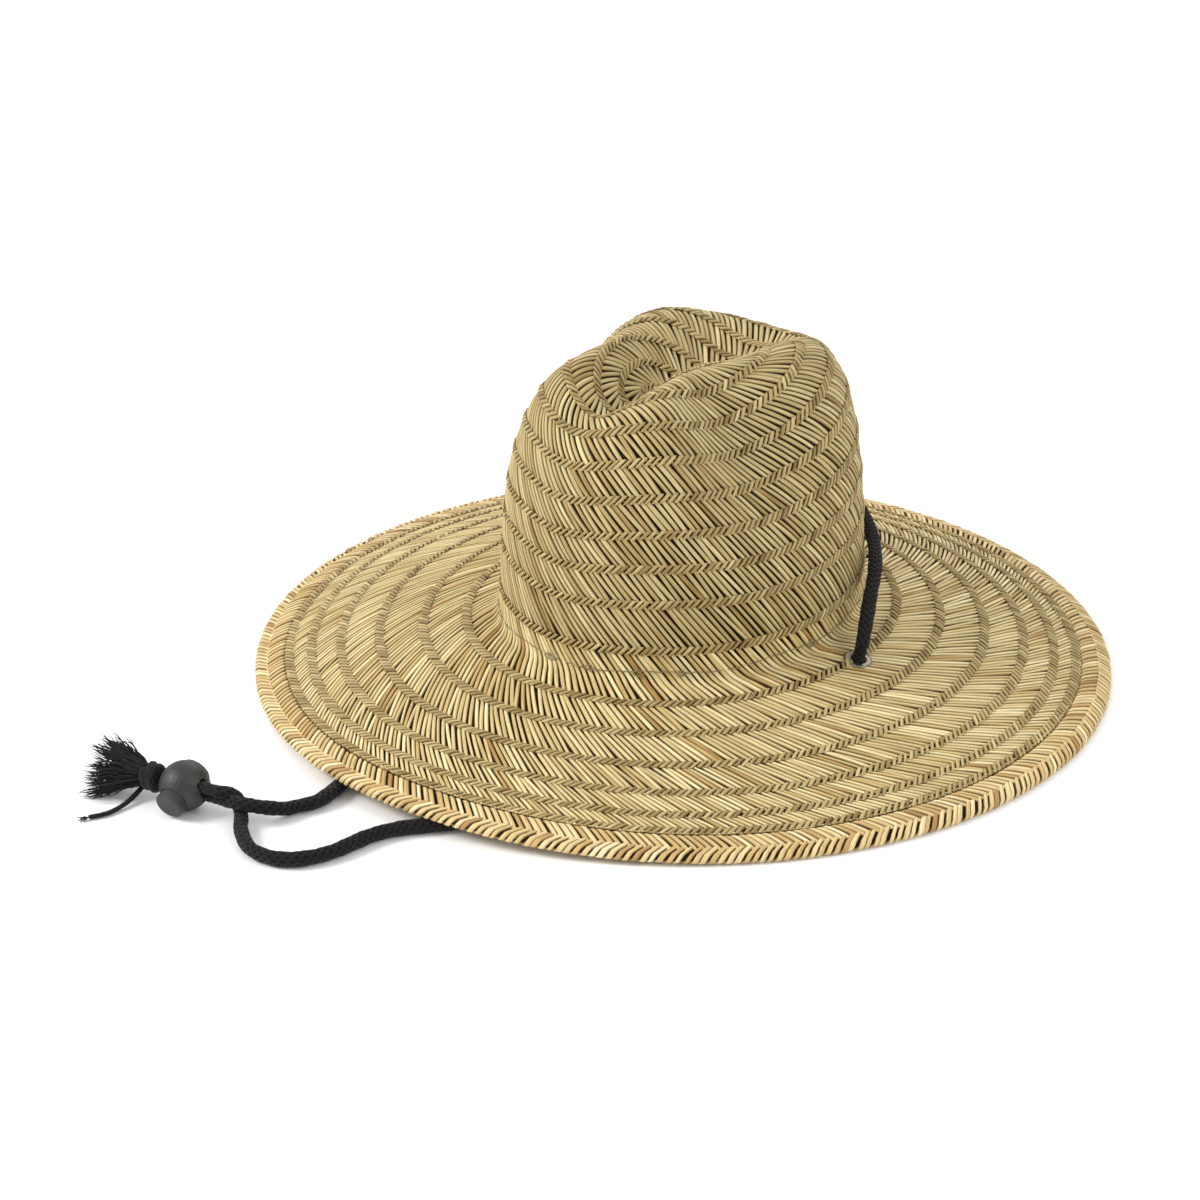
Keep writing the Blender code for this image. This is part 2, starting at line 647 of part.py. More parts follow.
def build():
    crown_straw = material("crown_straw", (0.40, 0.33, 0.18), 0.6)
    brim_straw = material("brim_straw", (0.55, 0.42, 0.20), 0.6)
    edge_straw = material("edge_straw", (0.62, 0.45, 0.20), 0.6)
    band_knit = material("band_knit", (0.02, 0.02, 0.02), 0.9)
    clear_nylon = material("clear_nylon", (0.55, 0.50, 0.40), 0.3)
    nickel = material("nickel", (0.60, 0.58, 0.55), 0.3, 1.0)
    washer_steel = material("washer_steel", (0.55, 0.55, 0.55), 0.35, 1.0)
    black_cord = material("black_cord", (0.012, 0.011, 0.010), 0.85)
    black_yarn = material("black_yarn", (0.014, 0.013, 0.012), 0.9)
    ball_plastic = material("ball_plastic", (0.030, 0.030, 0.032), 0.45)
    button_plastic = material("button_plastic", (0.026, 0.026, 0.028), 0.45)
    spring_steel = material("spring_steel", (0.50, 0.50, 0.52), 0.3, 1.0)

    build_crown_tip(crown_straw)
    build_crown_side(crown_straw)
    inner = build_brim("brim_inner_weave", BRIM_START, BRIM_SPLIT, brim_straw)
    build_brim("brim_outer_weave", BRIM_SPLIT + BRIM_GAP, 1.0, brim_straw)
    build_edge_braid(edge_straw)
    for side in (-1, 1):
        cut(inner, brim_hole(side))
    build_sweatband(band_knit)
    build_thread(clear_nylon)
    build_eyelet("right_eyelet", "right_eyelet_washer", -1, nickel, washer_steel)
    build_eyelet("left_eyelet", "left_eyelet_washer", 1, nickel, washer_steel)
    build_cord(black_cord)
    build_lock(ball_plastic, button_plastic, spring_steel)
    build_knot(black_cord)
    build_fray("upper_frayed_end", Vector((-0.2850, -0.1330, 0.0180)), 0.0070, black_yarn, 0.0026)
    build_fray("lower_frayed_end", Vector((-0.2900, -0.1520, 0.0070)), 0.0062, black_yarn, -0.0034)
    build_yarn(black_yarn)


build()
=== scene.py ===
import math

import bpy
import numpy as np
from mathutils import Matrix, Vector


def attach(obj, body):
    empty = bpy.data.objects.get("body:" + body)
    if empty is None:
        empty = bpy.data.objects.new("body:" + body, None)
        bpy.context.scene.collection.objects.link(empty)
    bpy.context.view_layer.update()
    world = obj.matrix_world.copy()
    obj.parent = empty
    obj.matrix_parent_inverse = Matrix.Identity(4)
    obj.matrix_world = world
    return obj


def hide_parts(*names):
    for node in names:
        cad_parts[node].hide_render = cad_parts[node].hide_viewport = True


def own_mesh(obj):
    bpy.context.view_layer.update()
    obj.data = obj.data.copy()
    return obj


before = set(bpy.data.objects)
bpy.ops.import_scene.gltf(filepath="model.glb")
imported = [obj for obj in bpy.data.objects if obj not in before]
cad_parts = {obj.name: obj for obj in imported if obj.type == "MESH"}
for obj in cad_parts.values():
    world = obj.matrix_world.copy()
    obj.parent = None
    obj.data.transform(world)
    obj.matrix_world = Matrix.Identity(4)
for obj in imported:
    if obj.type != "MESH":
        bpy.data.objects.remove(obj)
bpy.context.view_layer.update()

# ---- camera ----
CAM_TILT = math.radians(26.0)
CAM_FAR = 1.5
CAM_AIM = Vector((-0.0431, 0.0, 0.0303))
CAM_LENS = 86.54


def make_camera():
    """Camera CAM_FAR from CAM_AIM, in front of it and CAM_TILT above the floor."""
    data = bpy.data.cameras.new("view")
    data.lens = CAM_LENS
    data.sensor_width = 36.0
    cam = bpy.data.objects.new("view", data)
    bpy.context.scene.collection.objects.link(cam)
    back = Vector((0.0, -math.cos(CAM_TILT), math.sin(CAM_TILT)))
    cam.location = CAM_AIM + back * CAM_FAR
    cam.rotation_euler = (-back).to_track_quat("-Z", "Y").to_euler()
    data.clip_start = 0.05
    data.clip_end = 50
    bpy.context.scene.camera = cam


make_camera()

# ---- shape of the hat, in metres (the same as the CAD part) ----
# Angles round the head start at the wearer's back, which points to BACK in the shared frame.
BACK = math.radians(50.0)
HEAD_LONG, HEAD_WIDE = 0.1020, 0.0885
BASE_Z, CROWN_H = 0.0320, 0.1500
STRAW_T = 0.0024
FILLET_R = 0.0060
CROWN_TAPER = 0.065
DOME_LONG, DOME_WIDE = 4.9, 2.9
CREASE_DEPTH, CREASE_WIDTH = 0.0300, 0.0285
CREASE_FRONT, CREASE_BACK, CREASE_EASE, CREASE_TILT = -0.080, 0.081, 0.012, 0.0257
PINCH_DEPTH, PINCH_AT, PINCH_LONG, PINCH_Z, PINCH_TALL = 0.0180, -0.030, 0.030, 0.125, 0.042
RIM_X, RIM_Y, RIM_TOP_Z = 0.2220, 0.2160, 0.0034
LIFT_AT, LIFT_SPREAD = math.radians(-129.0), math.radians(26.0)
LIFT_H, LIFT_OUT = 0.0076, 0.0070
BRAID_W = 0.0150
BRIM_RUN = 0.125
TAU = 2 * math.pi


def oval(angle, half_long, half_wide):
    """Radius of an ellipse: 1 / sqrt((cos / half_long)^2 + (sin / half_wide)^2)."""
    return 1.0 / np.sqrt((np.cos(angle) / half_long) ** 2 + (np.sin(angle) / half_wide) ** 2)


def crown_point(angle, along):
    """Crown surface from the dome rule: a superellipse meridian over an oval plan, less a
    bell-shaped crease along the middle and two bell-shaped pinches beside the front."""
    power = DOME_WIDE + (DOME_LONG - DOME_WIDE) * np.cos(angle) ** 2
    turn = along * math.pi / 2
    rise = np.clip(np.cos(turn), 0, 1) ** (2 / power)
    reach = np.clip(np.sin(turn), 0, 1) ** (2 / power)
    radius = oval(angle, HEAD_LONG, HEAD_WIDE) * reach * (1 - CROWN_TAPER * rise)
    u, v = radius * np.cos(angle), radius * np.sin(angle)
    top = rise ** 3
    z = CROWN_H * rise + CREASE_TILT * u * top
    width = CREASE_WIDTH * (1 + u / 0.25)
    ease = 1 / (1 + np.exp((u - CREASE_BACK) / CREASE_EASE))
    ease = ease / (1 + np.exp((CREASE_FRONT - u) / CREASE_EASE))
    z = z - CREASE_DEPTH * np.exp(-((v / width) ** 2)) * ease * top
    side = np.clip(np.abs(v) / 0.05, 0, 1) ** 1.5
    pinch = np.exp(-((u - PINCH_AT) / PINCH_LONG) ** 2 - ((rise * CROWN_H - PINCH_Z) / PINCH_TALL) ** 2)
    v = v - np.sign(v) * PINCH_DEPTH * pinch * side
    return to_world(u, v, z + BASE_Z)


def fillet_point(angle, part):
    """Quarter round from the crown wall (part 0) to the brim (part 1), of radius FILLET_R."""
    foot = oval(angle, HEAD_LONG, HEAD_WIDE)
    radius = foot + FILLET_R * (1 - np.cos(part * math.pi / 2))
    z = BASE_Z + FILLET_R * (1 - np.sin(part * math.pi / 2))
    return to_world(radius * np.cos(angle), radius * np.sin(angle), z)


def lift_at(azimuth):
    """Bell, exp(-(off / LIFT_SPREAD)^2), of how far the rim is lifted over the cord."""
    off = (azimuth - LIFT_AT + math.pi) % TAU - math.pi
    return np.exp(-((off / LIFT_SPREAD) ** 2))


def brim_point(angle, out):
    """Brim surface: a straight cone from the crown foot (out 0) to the plait (out 1) between two
    ovals, plus the lift times out squared."""
    azimuth = angle + BACK
    foot = oval(angle, HEAD_LONG, HEAD_WIDE) + FILLET_R
    rim = oval(azimuth, RIM_X, RIM_Y) + LIFT_OUT * lift_at(azimuth) - BRAID_W
    radius = foot + (rim - foot) * out
    low = BASE_Z + (RIM_TOP_Z - BASE_Z) * (rim - foot) / (rim - foot + BRAID_W)
    z = BASE_Z + (low - BASE_Z) * out + LIFT_H * lift_at(azimuth) * out ** 2
    return to_world(radius * np.cos(angle), radius * np.sin(angle), z)


def to_world(u, v, z):
    """Turns head coordinates (u back, v sideways) by BACK into the shared frame."""
    x = u * math.cos(BACK) - v * math.sin(BACK)
    y = u * math.sin(BACK) + v * math.cos(BACK)
    return np.stack([x, y, z + 0 * x], axis=-1)


class Skin:
    """A surface as a table over angle and share of arc length, with its outward normals."""

    def __init__(self, rows, columns=400, samples=361):
        angle = np.linspace(0, TAU, samples)
        path = np.stack([row(angle) for row in rows], axis=1)
        step = np.linalg.norm(np.diff(path, axis=1), axis=2)
        run = np.concatenate([np.zeros((samples, 1)), np.cumsum(step, axis=1)], axis=1)
        self.length = run[:, -1]
        share = np.linspace(0, 1, columns)
        self.table = np.stack([
            np.stack([np.interp(share * run[i, -1], run[i], path[i, :, k]) for k in range(3)], axis=-1)
            for i in range(samples)])
        down = np.gradient(self.table, axis=1)
        wrapped = np.concatenate([self.table[-2:-1], self.table, self.table[1:2]])
        around = (wrapped[2:] - wrapped[:-2])
        cross = np.cross(down, around)
        self.normal = cross / (np.linalg.norm(cross, axis=2, keepdims=True) + 1e-12)
        self.reach = np.linalg.norm(around, axis=2, keepdims=True) / (2 * TAU / (samples - 1))
        self.samples, self.columns = samples, columns

    def read(self, table, angle, share):
        """Linear interpolation of a table between its four nearest entries."""
        i = (angle / TAU % 1.0) * (self.samples - 1)
        j = np.clip(share, 0, 1) * (self.columns - 1)
        i0 = np.minimum(i.astype(int), self.samples - 2)
        j0 = np.minimum(j.astype(int), self.columns - 2)
        fi, fj = (i - i0)[..., None], (j - j0)[..., None]
        low = table[i0, j0] * (1 - fj) + table[i0, j0 + 1] * fj
        high = table[i0 + 1, j0] * (1 - fj) + table[i0 + 1, j0 + 1] * fj
        return low * (1 - fi) + high * fi

    def at(self, angle, share, height=0.0):
        """Point = surface + height * outward normal."""
        height = np.broadcast_to(height, np.broadcast(angle, share).shape)
        angle, share = np.broadcast_arrays(angle, share)
        normal = self.read(self.normal, angle, share)
        return self.read(self.table, angle, share) + normal * height[..., None]

    def metres_per_turn(self, angle, share):
        """Metres round the ring for one radian of angle, at least 1.5 mm near the pole."""
        angle, share = np.broadcast_arrays(angle, share)
        return self.read(self.reach, angle, share)[..., 0].clip(0.0015)

    def mean_length(self):
        return float(self.length.mean())

    def even_angles(self, count, share, phase):
        """Angles of count points spaced evenly round the ring at that share."""
        ring = np.linspace(0, TAU, 721)
        pts = self.at(ring, np.full_like(ring, share))
        run = run_along(pts)
        return np.interp((np.arange(count) + phase) / count % 1.0 * run[-1], run, ring)

    def ring_length(self, share):
        ring = np.linspace(0, TAU, 361)
        pts = self.at(ring, np.full_like(ring, share))
        return float(np.linalg.norm(np.diff(pts, axis=0), axis=1).sum())


WEAVE_MIDDLE = -0.235
CROWN_STEPS = 300


def weave_point(angle, along):
    """The crown surface read along lines that spread from the middle of the weave. Plan place p on
    the unit disc moves by WEAVE_MIDDLE * (1 - |p|^2)^2 along the head, then back to the dome rule."""
    power = DOME_WIDE + (DOME_LONG - DOME_WIDE) * np.cos(angle) ** 2
    reach = np.sin(along * math.pi / 2) ** (2 / power)
    px = reach * np.cos(angle) + WEAVE_MIDDLE * (1 - reach ** 2) ** 2
    py = reach * np.sin(angle)
    turned = np.arctan2(py, px)
    power = DOME_WIDE + (DOME_LONG - DOME_WIDE) * np.cos(turned) ** 2
    back = np.clip(np.hypot(px, py), 0, 1) ** (power / 2)
    return crown_point(turned, np.arcsin(back) / (math.pi / 2))


def crown_rows():
    """Rings from the weave's middle to the brim: steps (1 - cos) / 2 apart on the dome, which lie
    closest at its middle and its foot, then the fillet."""
    last = math.acos((FILLET_R / CROWN_H) ** (DOME_WIDE / 2)) / (math.pi / 2)
    steps = last * (1 - np.cos(np.linspace(0, math.pi, CROWN_STEPS))) / 2
    rows = [lambda a, s=s: weave_point(a, np.full_like(a, s)) for s in steps]
    rows += [lambda a, p=p: fillet_point(a, np.full_like(a, p)) for p in np.linspace(0.05, 0.86, 14)]
    return rows


CROWN = Skin(crown_rows())
BRIM = Skin([lambda a, o=o: brim_point(a, np.full_like(a, o)) for o in np.linspace(-0.012, 1.0, 60)])


# Section of the edge plait: share across it, and reach outwards and rise there in millimetres.
PLAIT_ACROSS = np.array([-0.1, 0.0, 0.08, 0.5, 0.88, 1.0, 1.12, 1.5, 1.92, 2.0])
PLAIT_REACH = np.array([-1.4, 0.0, 0.9, 7.5, 13.6, 15.0, 13.6, 7.5, 0.9, 0.0])
PLAIT_RISE = np.array([-0.9, -0.3, 0.5, 0.7, 0.3, -1.4, -3.0, -3.2, -2.9, -2.2])


def plait_point(angle, across):
    """Edge plait surface: across 0 at the straw body, 1 at the outer edge, 2 under the body. The
    section's reach and rise are added to the end of the brim, and it slopes as the brim does."""
    inner = BRIM.at(angle, np.ones_like(angle))
    out = np.stack([np.cos(angle + BACK), np.sin(angle + BACK), np.zeros_like(angle)], axis=-1)
    reach = np.interp(across, PLAIT_ACROSS, PLAIT_REACH) * 1e-3
    rise = np.interp(across, PLAIT_ACROSS, PLAIT_RISE) * 1e-3
    point = inner + out * reach[..., None]
    point[..., 2] += rise + (RIM_TOP_Z - BASE_Z) / BRIM_RUN * reach
    return point


# ---- mesh helpers ----
def srgb(code):
    """Linear colour of a hex code, by the sRGB curve."""
    values = [int(code[i:i + 2], 16) / 255 for i in (1, 3, 5)]
    return tuple(v / 12.92 if v <= 0.04045 else ((v + 0.055) / 1.055) ** 2.4 for v in values) + (1.0,)


HOLE_R, HOLE_DEEP = 0.0046, 0.0060


def pierced(verts, quads):
    """Leaves out the faces whose middle is within HOLE_R of an eyelet's axis."""
    middle = np.asarray(verts).reshape(-1, 3)[quads].mean(axis=1)
    keep = np.ones(len(quads), bool)
    for side in (-1, 1):
        centre, axis = (np.array(tuple(v)) for v in eyelet_frame(side))
        off = middle - centre
        along = off @ axis
        wide = np.linalg.norm(off - along[:, None] * axis, axis=1)
        keep &= ~((wide < HOLE_R) & (np.abs(along) < HOLE_DEEP))
    return quads[keep]


def add(name, built, mat, nodes, body="hat"):
    """One finished piece from arrays of points, four-corner faces and grain: its mesh, the body it
    moves with and the CAD nodes it stands for."""
    verts, quads, grain = built
    verts = np.asarray(verts, dtype=np.float32).reshape(-1, 3)
    quads = np.asarray(quads, dtype=np.int32).reshape(-1, 4)
    mesh = bpy.data.meshes.new(name)
    mesh.vertices.add(len(verts))
    mesh.vertices.foreach_set("co", verts.ravel())
    mesh.loops.add(quads.size)
    mesh.loops.foreach_set("vertex_index", quads.ravel())
    mesh.polygons.add(len(quads))
    mesh.polygons.foreach_set("loop_start", np.arange(0, quads.size, 4, dtype=np.int32))
    mesh.update(calc_edges=True)
    mesh.polygons.foreach_set("use_smooth", np.ones(len(quads), bool))
    if grain is not None:
        layer = mesh.attributes.new("grain", "FLOAT_VECTOR", "POINT")
        layer.data.foreach_set("vector", np.asarray(grain, dtype=np.float32).ravel())
    mesh.materials.append(mat)
    obj = bpy.data.objects.new(name, mesh)
    bpy.context.scene.collection.objects.link(obj)
    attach(obj, body)
    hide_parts(*nodes)
    return obj


def grid_quads(count, rows, cols, closed_cols=False):
    """Faces of count separate grids of rows by cols points, listed one after another."""
    span = cols if closed_cols else cols - 1
    r, c = np.meshgrid(np.arange(rows - 1), np.arange(span), indexing="ij")
    a = r * cols + c
    b = r * cols + (c + 1) % cols
    one = np.stack([a, a + cols, b + cols, b], axis=-1).reshape(-1, 4)
    return (one[None] + (np.arange(count) * rows * cols)[:, None, None]).reshape(-1, 4)


def turned_out(quads):
    """The same faces with their corners the other way round, so that they face the other way."""
    return quads[:, ::-1]


def join(parts):
    """One set of points, faces and grain from several."""
    verts, quads, grain, offset = [], [], [], 0
    for v, q, g in parts:
        verts.append(v)
        quads.append(q + offset)
        grain.append(g)
        offset += len(v)
    return np.vstack(verts), np.vstack(quads), np.vstack(grain)


def frames_along(path):
    """Direction, sideways and upward unit vectors carried along a path without twisting."""
    ahead = np.gradient(path, axis=0)
    ahead /= np.linalg.norm(ahead, axis=1, keepdims=True)
    side = np.cross(ahead[0], [0.0, 0.0, 1.0])
    if np.linalg.norm(side) < 0.05:
        side = np.cross(ahead[0], [1.0, 0.0, 0.0])
    kept = []
    for direction in ahead:
        side = side - direction * side.dot(direction)
        side = side / np.linalg.norm(side)
        kept.append(side)
    side = np.array(kept)
    return ahead, side, np.cross(side, ahead)


def run_along(path):
    """Distance travelled along a path at each of its points."""
    return np.concatenate([[0.0], np.cumsum(np.linalg.norm(np.diff(path, axis=0), axis=1))])


# Unevenness of knitted cord in radians per metre (waves 33 mm and 10 mm long), and its rounded end.
SLOW_WOBBLE, QUICK_WOBBLE = 190.0, 610.0
CORD_END = 0.002


def knitted(path, radius, flat=(1.0, 1.0), relief=0.15, stitch=0.0038, wales=6, sides=42, step=0.00055):
    """Knitted cord: radius * (1 + relief * h), where h is the taller of two sets of slanted
    loops, cos(wales * turn + v) and cos(wales * turn - v), with v = 2 pi * run / stitch. Flat
    scales it sideways and upwards, and relief 0 gives plain wire."""
    coarse = np.asarray(path, float)
    _, side, up = frames_along(coarse)
    run = run_along(coarse)
    at = np.linspace(0, run[-1], int(run[-1] / step) + 2)
    line = np.stack([np.interp(at, run, coarse[:, k]) for k in range(3)], axis=-1)
    side = np.stack([np.interp(at, run, side[:, k]) for k in range(3)], axis=-1)[:, None]
    up = np.stack([np.interp(at, run, up[:, k]) for k in range(3)], axis=-1)[:, None]
    size = np.interp(at, run, np.broadcast_to(radius, run.shape))[:, None]
    turn = np.linspace(0, TAU, sides, endpoint=False)[None, :]
    v = TAU * at[:, None] / stitch
    loops = np.maximum(np.cos(wales * turn + v), np.cos(wales * turn - v))
    wobble = 0.035 * np.sin(at * SLOW_WOBBLE)[:, None]
    wobble = wobble + 0.03 * np.sin(at[:, None] * QUICK_WOBBLE + 2 * turn)
    reach = size * (1 - relief * 0.6 + relief * loops + wobble)
    to_end = np.minimum(at, run[-1] - at) / CORD_END
    round_end = np.sqrt(np.clip(1 - (1 - to_end).clip(0) ** 2, 0.02, 1))
    reach = (reach * round_end[:, None])[..., None]
    ring = side * (np.cos(turn)[..., None] * flat[0]) + up * (np.sin(turn)[..., None] * flat[1])
    verts = line[:, None] + ring * reach
    grain = np.stack([at[:, None] + 0 * turn, turn + 0 * v, loops], axis=-1)
    return verts.reshape(-1, 3), grid_quads(1, len(at), sides, closed_cols=True), grain.reshape(-1, 3)


YARN_LOWEST = 0.0004


def strands(start, way, length, radius, bend, seed, steps=16, sides=5, wave=0.0006):
    """Many yarns at once: start + way * s + bend * s^2, with a small sideways wave, a little
    thicker in the middle and closed to a point at the tip. All arrays are (yarn, step, corner)."""
    local = np.random.default_rng(seed)
    count = len(start)
    s = np.linspace(0, 1, steps)[None, :, None]
    way = way / np.linalg.norm(way, axis=1, keepdims=True)
    length = np.broadcast_to(length, (count,))[:, None, None]
    line = start[:, None] + way[:, None] * s * length + bend[:, None] * s ** 2
    phase = local.random((count, 1, 3)) * TAU
    rate = 7 + 9 * local.random((count, 1, 3))
    line = line + wave * s * np.sin(rate * s + phase)
    line[..., 2] = np.maximum(line[..., 2], YARN_LOWEST + 0.0006 * local.random((count, 1)))
    ahead = np.gradient(line, axis=1)
    ahead /= np.linalg.norm(ahead, axis=2, keepdims=True) + 1e-12
    side = np.cross(ahead, [0.13, 0.21, 0.97])
    side /= np.linalg.norm(side, axis=2, keepdims=True) + 1e-12
    up = np.cross(side, ahead)
    turn = np.linspace(0, TAU, sides, endpoint=False)[None, None, :, None]
    size = np.broadcast_to(radius, (count,))[:, None, None, None] * (1 - 0.9 * s[..., None] ** 6)
    verts = line[:, :, None] + (side[:, :, None] * np.cos(turn) + up[:, :, None] * np.sin(turn)) * size
    grain = np.zeros(verts.shape)
    grain[..., 0] = s * length
    grain[..., 2] = local.random((count, 1, 1))
    return verts.reshape(-1, 3), grid_quads(count, steps, sides, closed_cols=True), grain.reshape(-1, 3)


def smooth_route(points, spacing):
    """Even stations along a Catmull-Rom curve through the route points."""
    pts = np.array([tuple(p) for p in points])
    ends = np.vstack([2 * pts[0] - pts[1], pts, 2 * pts[-1] - pts[-2]])
    t = np.linspace(0, 1, 24, endpoint=False)[:, None]
    pieces = []
    for a, b, c, d in zip(ends[:-3], ends[1:-2], ends[2:-1], ends[3:]):
        pieces.append(0.5 * (2 * b + (c - a) * t + (2 * a - 5 * b + 4 * c - d) * t ** 2
                             + (3 * b - a - 3 * c + d) * t ** 3))
    fine = np.vstack(pieces + [pts[-1:]])
    run = run_along(fine)
    count = max(2, int(round(run[-1] / spacing)) + 1)
    at = np.linspace(0, run[-1], count)
    return np.stack([np.interp(at, run, fine[:, k]) for k in range(3)], axis=-1)


# ---- materials ----
class Shader:
    """A node material under construction on top of a Principled surface."""

    def __init__(self, name):
        self.mat = bpy.data.materials.new(name)
        self.mat.use_nodes = True
        self.main = self.mat.node_tree.nodes["Principled BSDF"]

    def add(self, kind, inputs, out=0, stops=(), **settings):
        """One node with its settings and links. Inputs gives sockets, by number or name, a value or
        another node's output; stops gives a colour ramp its places and colours."""
        node = self.mat.node_tree.nodes.new("ShaderNode" + kind)
        for key, value in settings.items():
            setattr(node, key, value)
        self.fill(node, inputs)
        if stops:
            band = node.color_ramp.elements
            while len(band) < len(stops):
                band.new(0.5)
            for stop, (place, colour) in zip(band, stops):
                stop.position = place
                stop.color = srgb(colour) if isinstance(colour, str) else (colour, colour, colour, 1)
        return node.outputs[out]

    def fill(self, node, inputs):
        for key, value in inputs.items():
            if isinstance(value, bpy.types.NodeSocket):
                self.mat.node_tree.links.new(value, node.inputs[key])
            else:
                node.inputs[key].default_value = value

    def surface(self, **inputs):
        """Fills the Principled surface; an underscore in a name stands for a space."""
        self.fill(self.main, {key.replace("_", " "): value for key, value in inputs.items()})


# Patterns on a straw: repeats per metre along it, per half width (1.4 mm) across it and per unit of
# its tone, so that no two straws match, and then the detail and the roughness of the noise.
STRAW_PATTERNS = {
    "fibre": ((90.0, 5.0, 37.0), 4.0, 0.62),     # streaks 11 mm long and 0.3 mm wide
    "patch": ((45.0, 0.5, 19.0), 2.0, 0.50),     # faded stretches 22 mm long
    "fine": ((260.0, 14.0, 71.0), 2.0, 0.50),    # pores 4 mm long and 0.1 mm wide
    "blot": ((120.0, 1.6, 53.0), 3.0, 0.70),     # brown blots 8 mm long and 0.9 mm wide
}


def straw_material(name, stops, edge, fleck):
    """Dried rush, split and flattened: long fibres, a faint waxy shine, brown blots, and painted shade that
    darkens both sides of each straw where it meets the gaps.
    The grain attribute holds metres along a straw, place across it (-1 to 1) and its own tone."""
    s = Shader(name)
    grain = s.add("Attribute", {}, "Vector", attribute_name="grain")
    across = s.add("SeparateXYZ", {0: grain}, 1)
    own_tone = s.add("SeparateXYZ", {0: grain}, 2)
    seen = {}
    for pattern, (repeats, detail, rough) in STRAW_PATTERNS.items():
        place = s.add("VectorMath", {0: grain, 1: repeats}, operation="MULTIPLY")
        noise = {"Vector": place, "Scale": 1.0, "Detail": detail, "Roughness": rough}
        seen[pattern] = s.add("TexNoise", noise)
    faded = s.add("Math", {0: seen["patch"], 1: 0.5}, operation="SUBTRACT")
    tone = s.add("Math", {0: faded, 1: 0.75, 2: own_tone}, operation="MULTIPLY_ADD")
    base = s.add("ValToRGB", {0: tone}, stops=stops)
    light = s.add("ValToRGB", {0: seen["fibre"]}, stops=[(0.28, 0.62), (0.5, 1.0), (0.72, 1.34)])
    colour = s.add("Mix", {0: 1.0, 6: base, 7: light}, 2, data_type="RGBA", blend_type="MULTIPLY")
    # Painted shade: towards both sides of a straw its colour turns to the dark edge colour, standing in for
    # the shade in the gaps between straws.
    side = s.add("Math", {0: across}, operation="ABSOLUTE")
    side = s.add("ValToRGB", {0: side}, stops=[(0.62, 0.0), (1.0, 1.0)])
    side = s.add("Math", {0: side, 1: 0.80}, operation="MULTIPLY")
    colour = s.add("Mix", {0: side, 6: colour, 7: srgb(edge)}, 2, data_type="RGBA")
    blot = s.add("ValToRGB", {0: seen["blot"]}, stops=[(0.60, 0.0), (0.72, 0.75)])
    colour = s.add("Mix", {0: blot, 6: colour, 7: srgb(fleck)}, 2, data_type="RGBA")
    rough = s.add("Math", {0: seen["fine"], 1: 0.25, 2: 0.42}, operation="MULTIPLY_ADD")
    relief = s.add("Math", {0: seen["fine"], 1: 0.4, 2: seen["fibre"]}, operation="MULTIPLY_ADD")
    bump = s.add("Bump", {"Height": relief, "Strength": 0.5, "Distance": 0.00025})
    s.surface(Base_Color=colour, Roughness=rough, Specular_IOR_Level=0.35, Normal=bump)
    return s.mat


# Each straw material: its tone stops, then its dark edge colour, which is painted shade for the gaps, then
# the colour of its brown blots.
CROWN_STRAW = straw_material("crown_straw", [
    (0.02, "#94773F"), (0.22, "#AE9560"), (0.48, "#BEA973"), (0.74, "#CDBA86"), (1.0, "#E0CE98")],
    "#21160A", "#96703A")
BRIM_STRAW = straw_material("brim_straw", [
    (0.02, "#A98347"), (0.22, "#C6AA6D"), (0.48, "#D6BF87"), (0.74, "#E6D29B"), (1.0, "#F4E3AE")],
    "#281B0D", "#AE7C3E")
STITCH_STRAW = straw_material("stitch_straw", [
    (0.02, "#84683A"), (0.25, "#9C8350"), (0.5, "#AE9763"), (0.78, "#C0AB76"), (1.0, "#D2BE88")],
    "#1C1208", "#7A552A")
EDGE_STRAW = straw_material("edge_straw", [
    (0.02, "#A98350"), (0.22, "#CAA86B"), (0.48, "#D9BD83"), (0.74, "#E8D09A"), (1.0, "#F5E3B4")],
    "#3A280F", "#A87A40")


def under_shade_material():
    """The lower layer of straw seen through the gaps, painted near black as shade, in blotches of 1.4 mm.
    """
    s = Shader("under_straw_shade")
    place = s.add("TexCoord", {}, "Object")
    noise = {"Vector": place, "Scale": 700.0, "Detail": 3.0, "Roughness": 0.6}
    spots = s.add("TexNoise", noise)
    # Painted shade: the straw below is coloured near black to stand in for the shade it lies in between the
    # top straws.
    stops = [(0.35, "#150D06"), (0.62, "#2E2010"), (0.9, "#57431F")]
    colour = s.add("ValToRGB", {0: spots}, stops=stops)
    bump = s.add("Bump", {"Height": spots, "Strength": 0.6, "Distance": 0.0004})
    s.surface(Base_Color=colour, Roughness=0.8, Specular_IOR_Level=0.1, Normal=bump)
    return s.mat


UNDER_STRAW_SHADE = under_shade_material()


# ---- cord, lock and tassel ----
# PRESS is the way the button goes in, RUN the way the ball slides along the two strands.
CORD_D = 0.0060
CORD_STEP = 0.004
CORD_LOWEST = 0.0041
STRAND_GAP = 0.0054
CORD_UNDER, CORD_OVER = 0.0090, 0.0060
EYELET_ANGLE, EYELET_OUT = math.radians(87.5), 0.0195
LOCK_AT = Vector((-0.2390, -0.1632, 0.0125))
PRESS = Vector((-0.446, -0.834, -0.320)).normalized()
BALL_R, KNOT_L = 0.0122, 0.0100
LEVEL = Vector((0.882, -0.472, 0.0))
RUN = (LEVEL - PRESS * LEVEL.dot(PRESS)).normalized()
ACROSS = PRESS.cross(RUN)


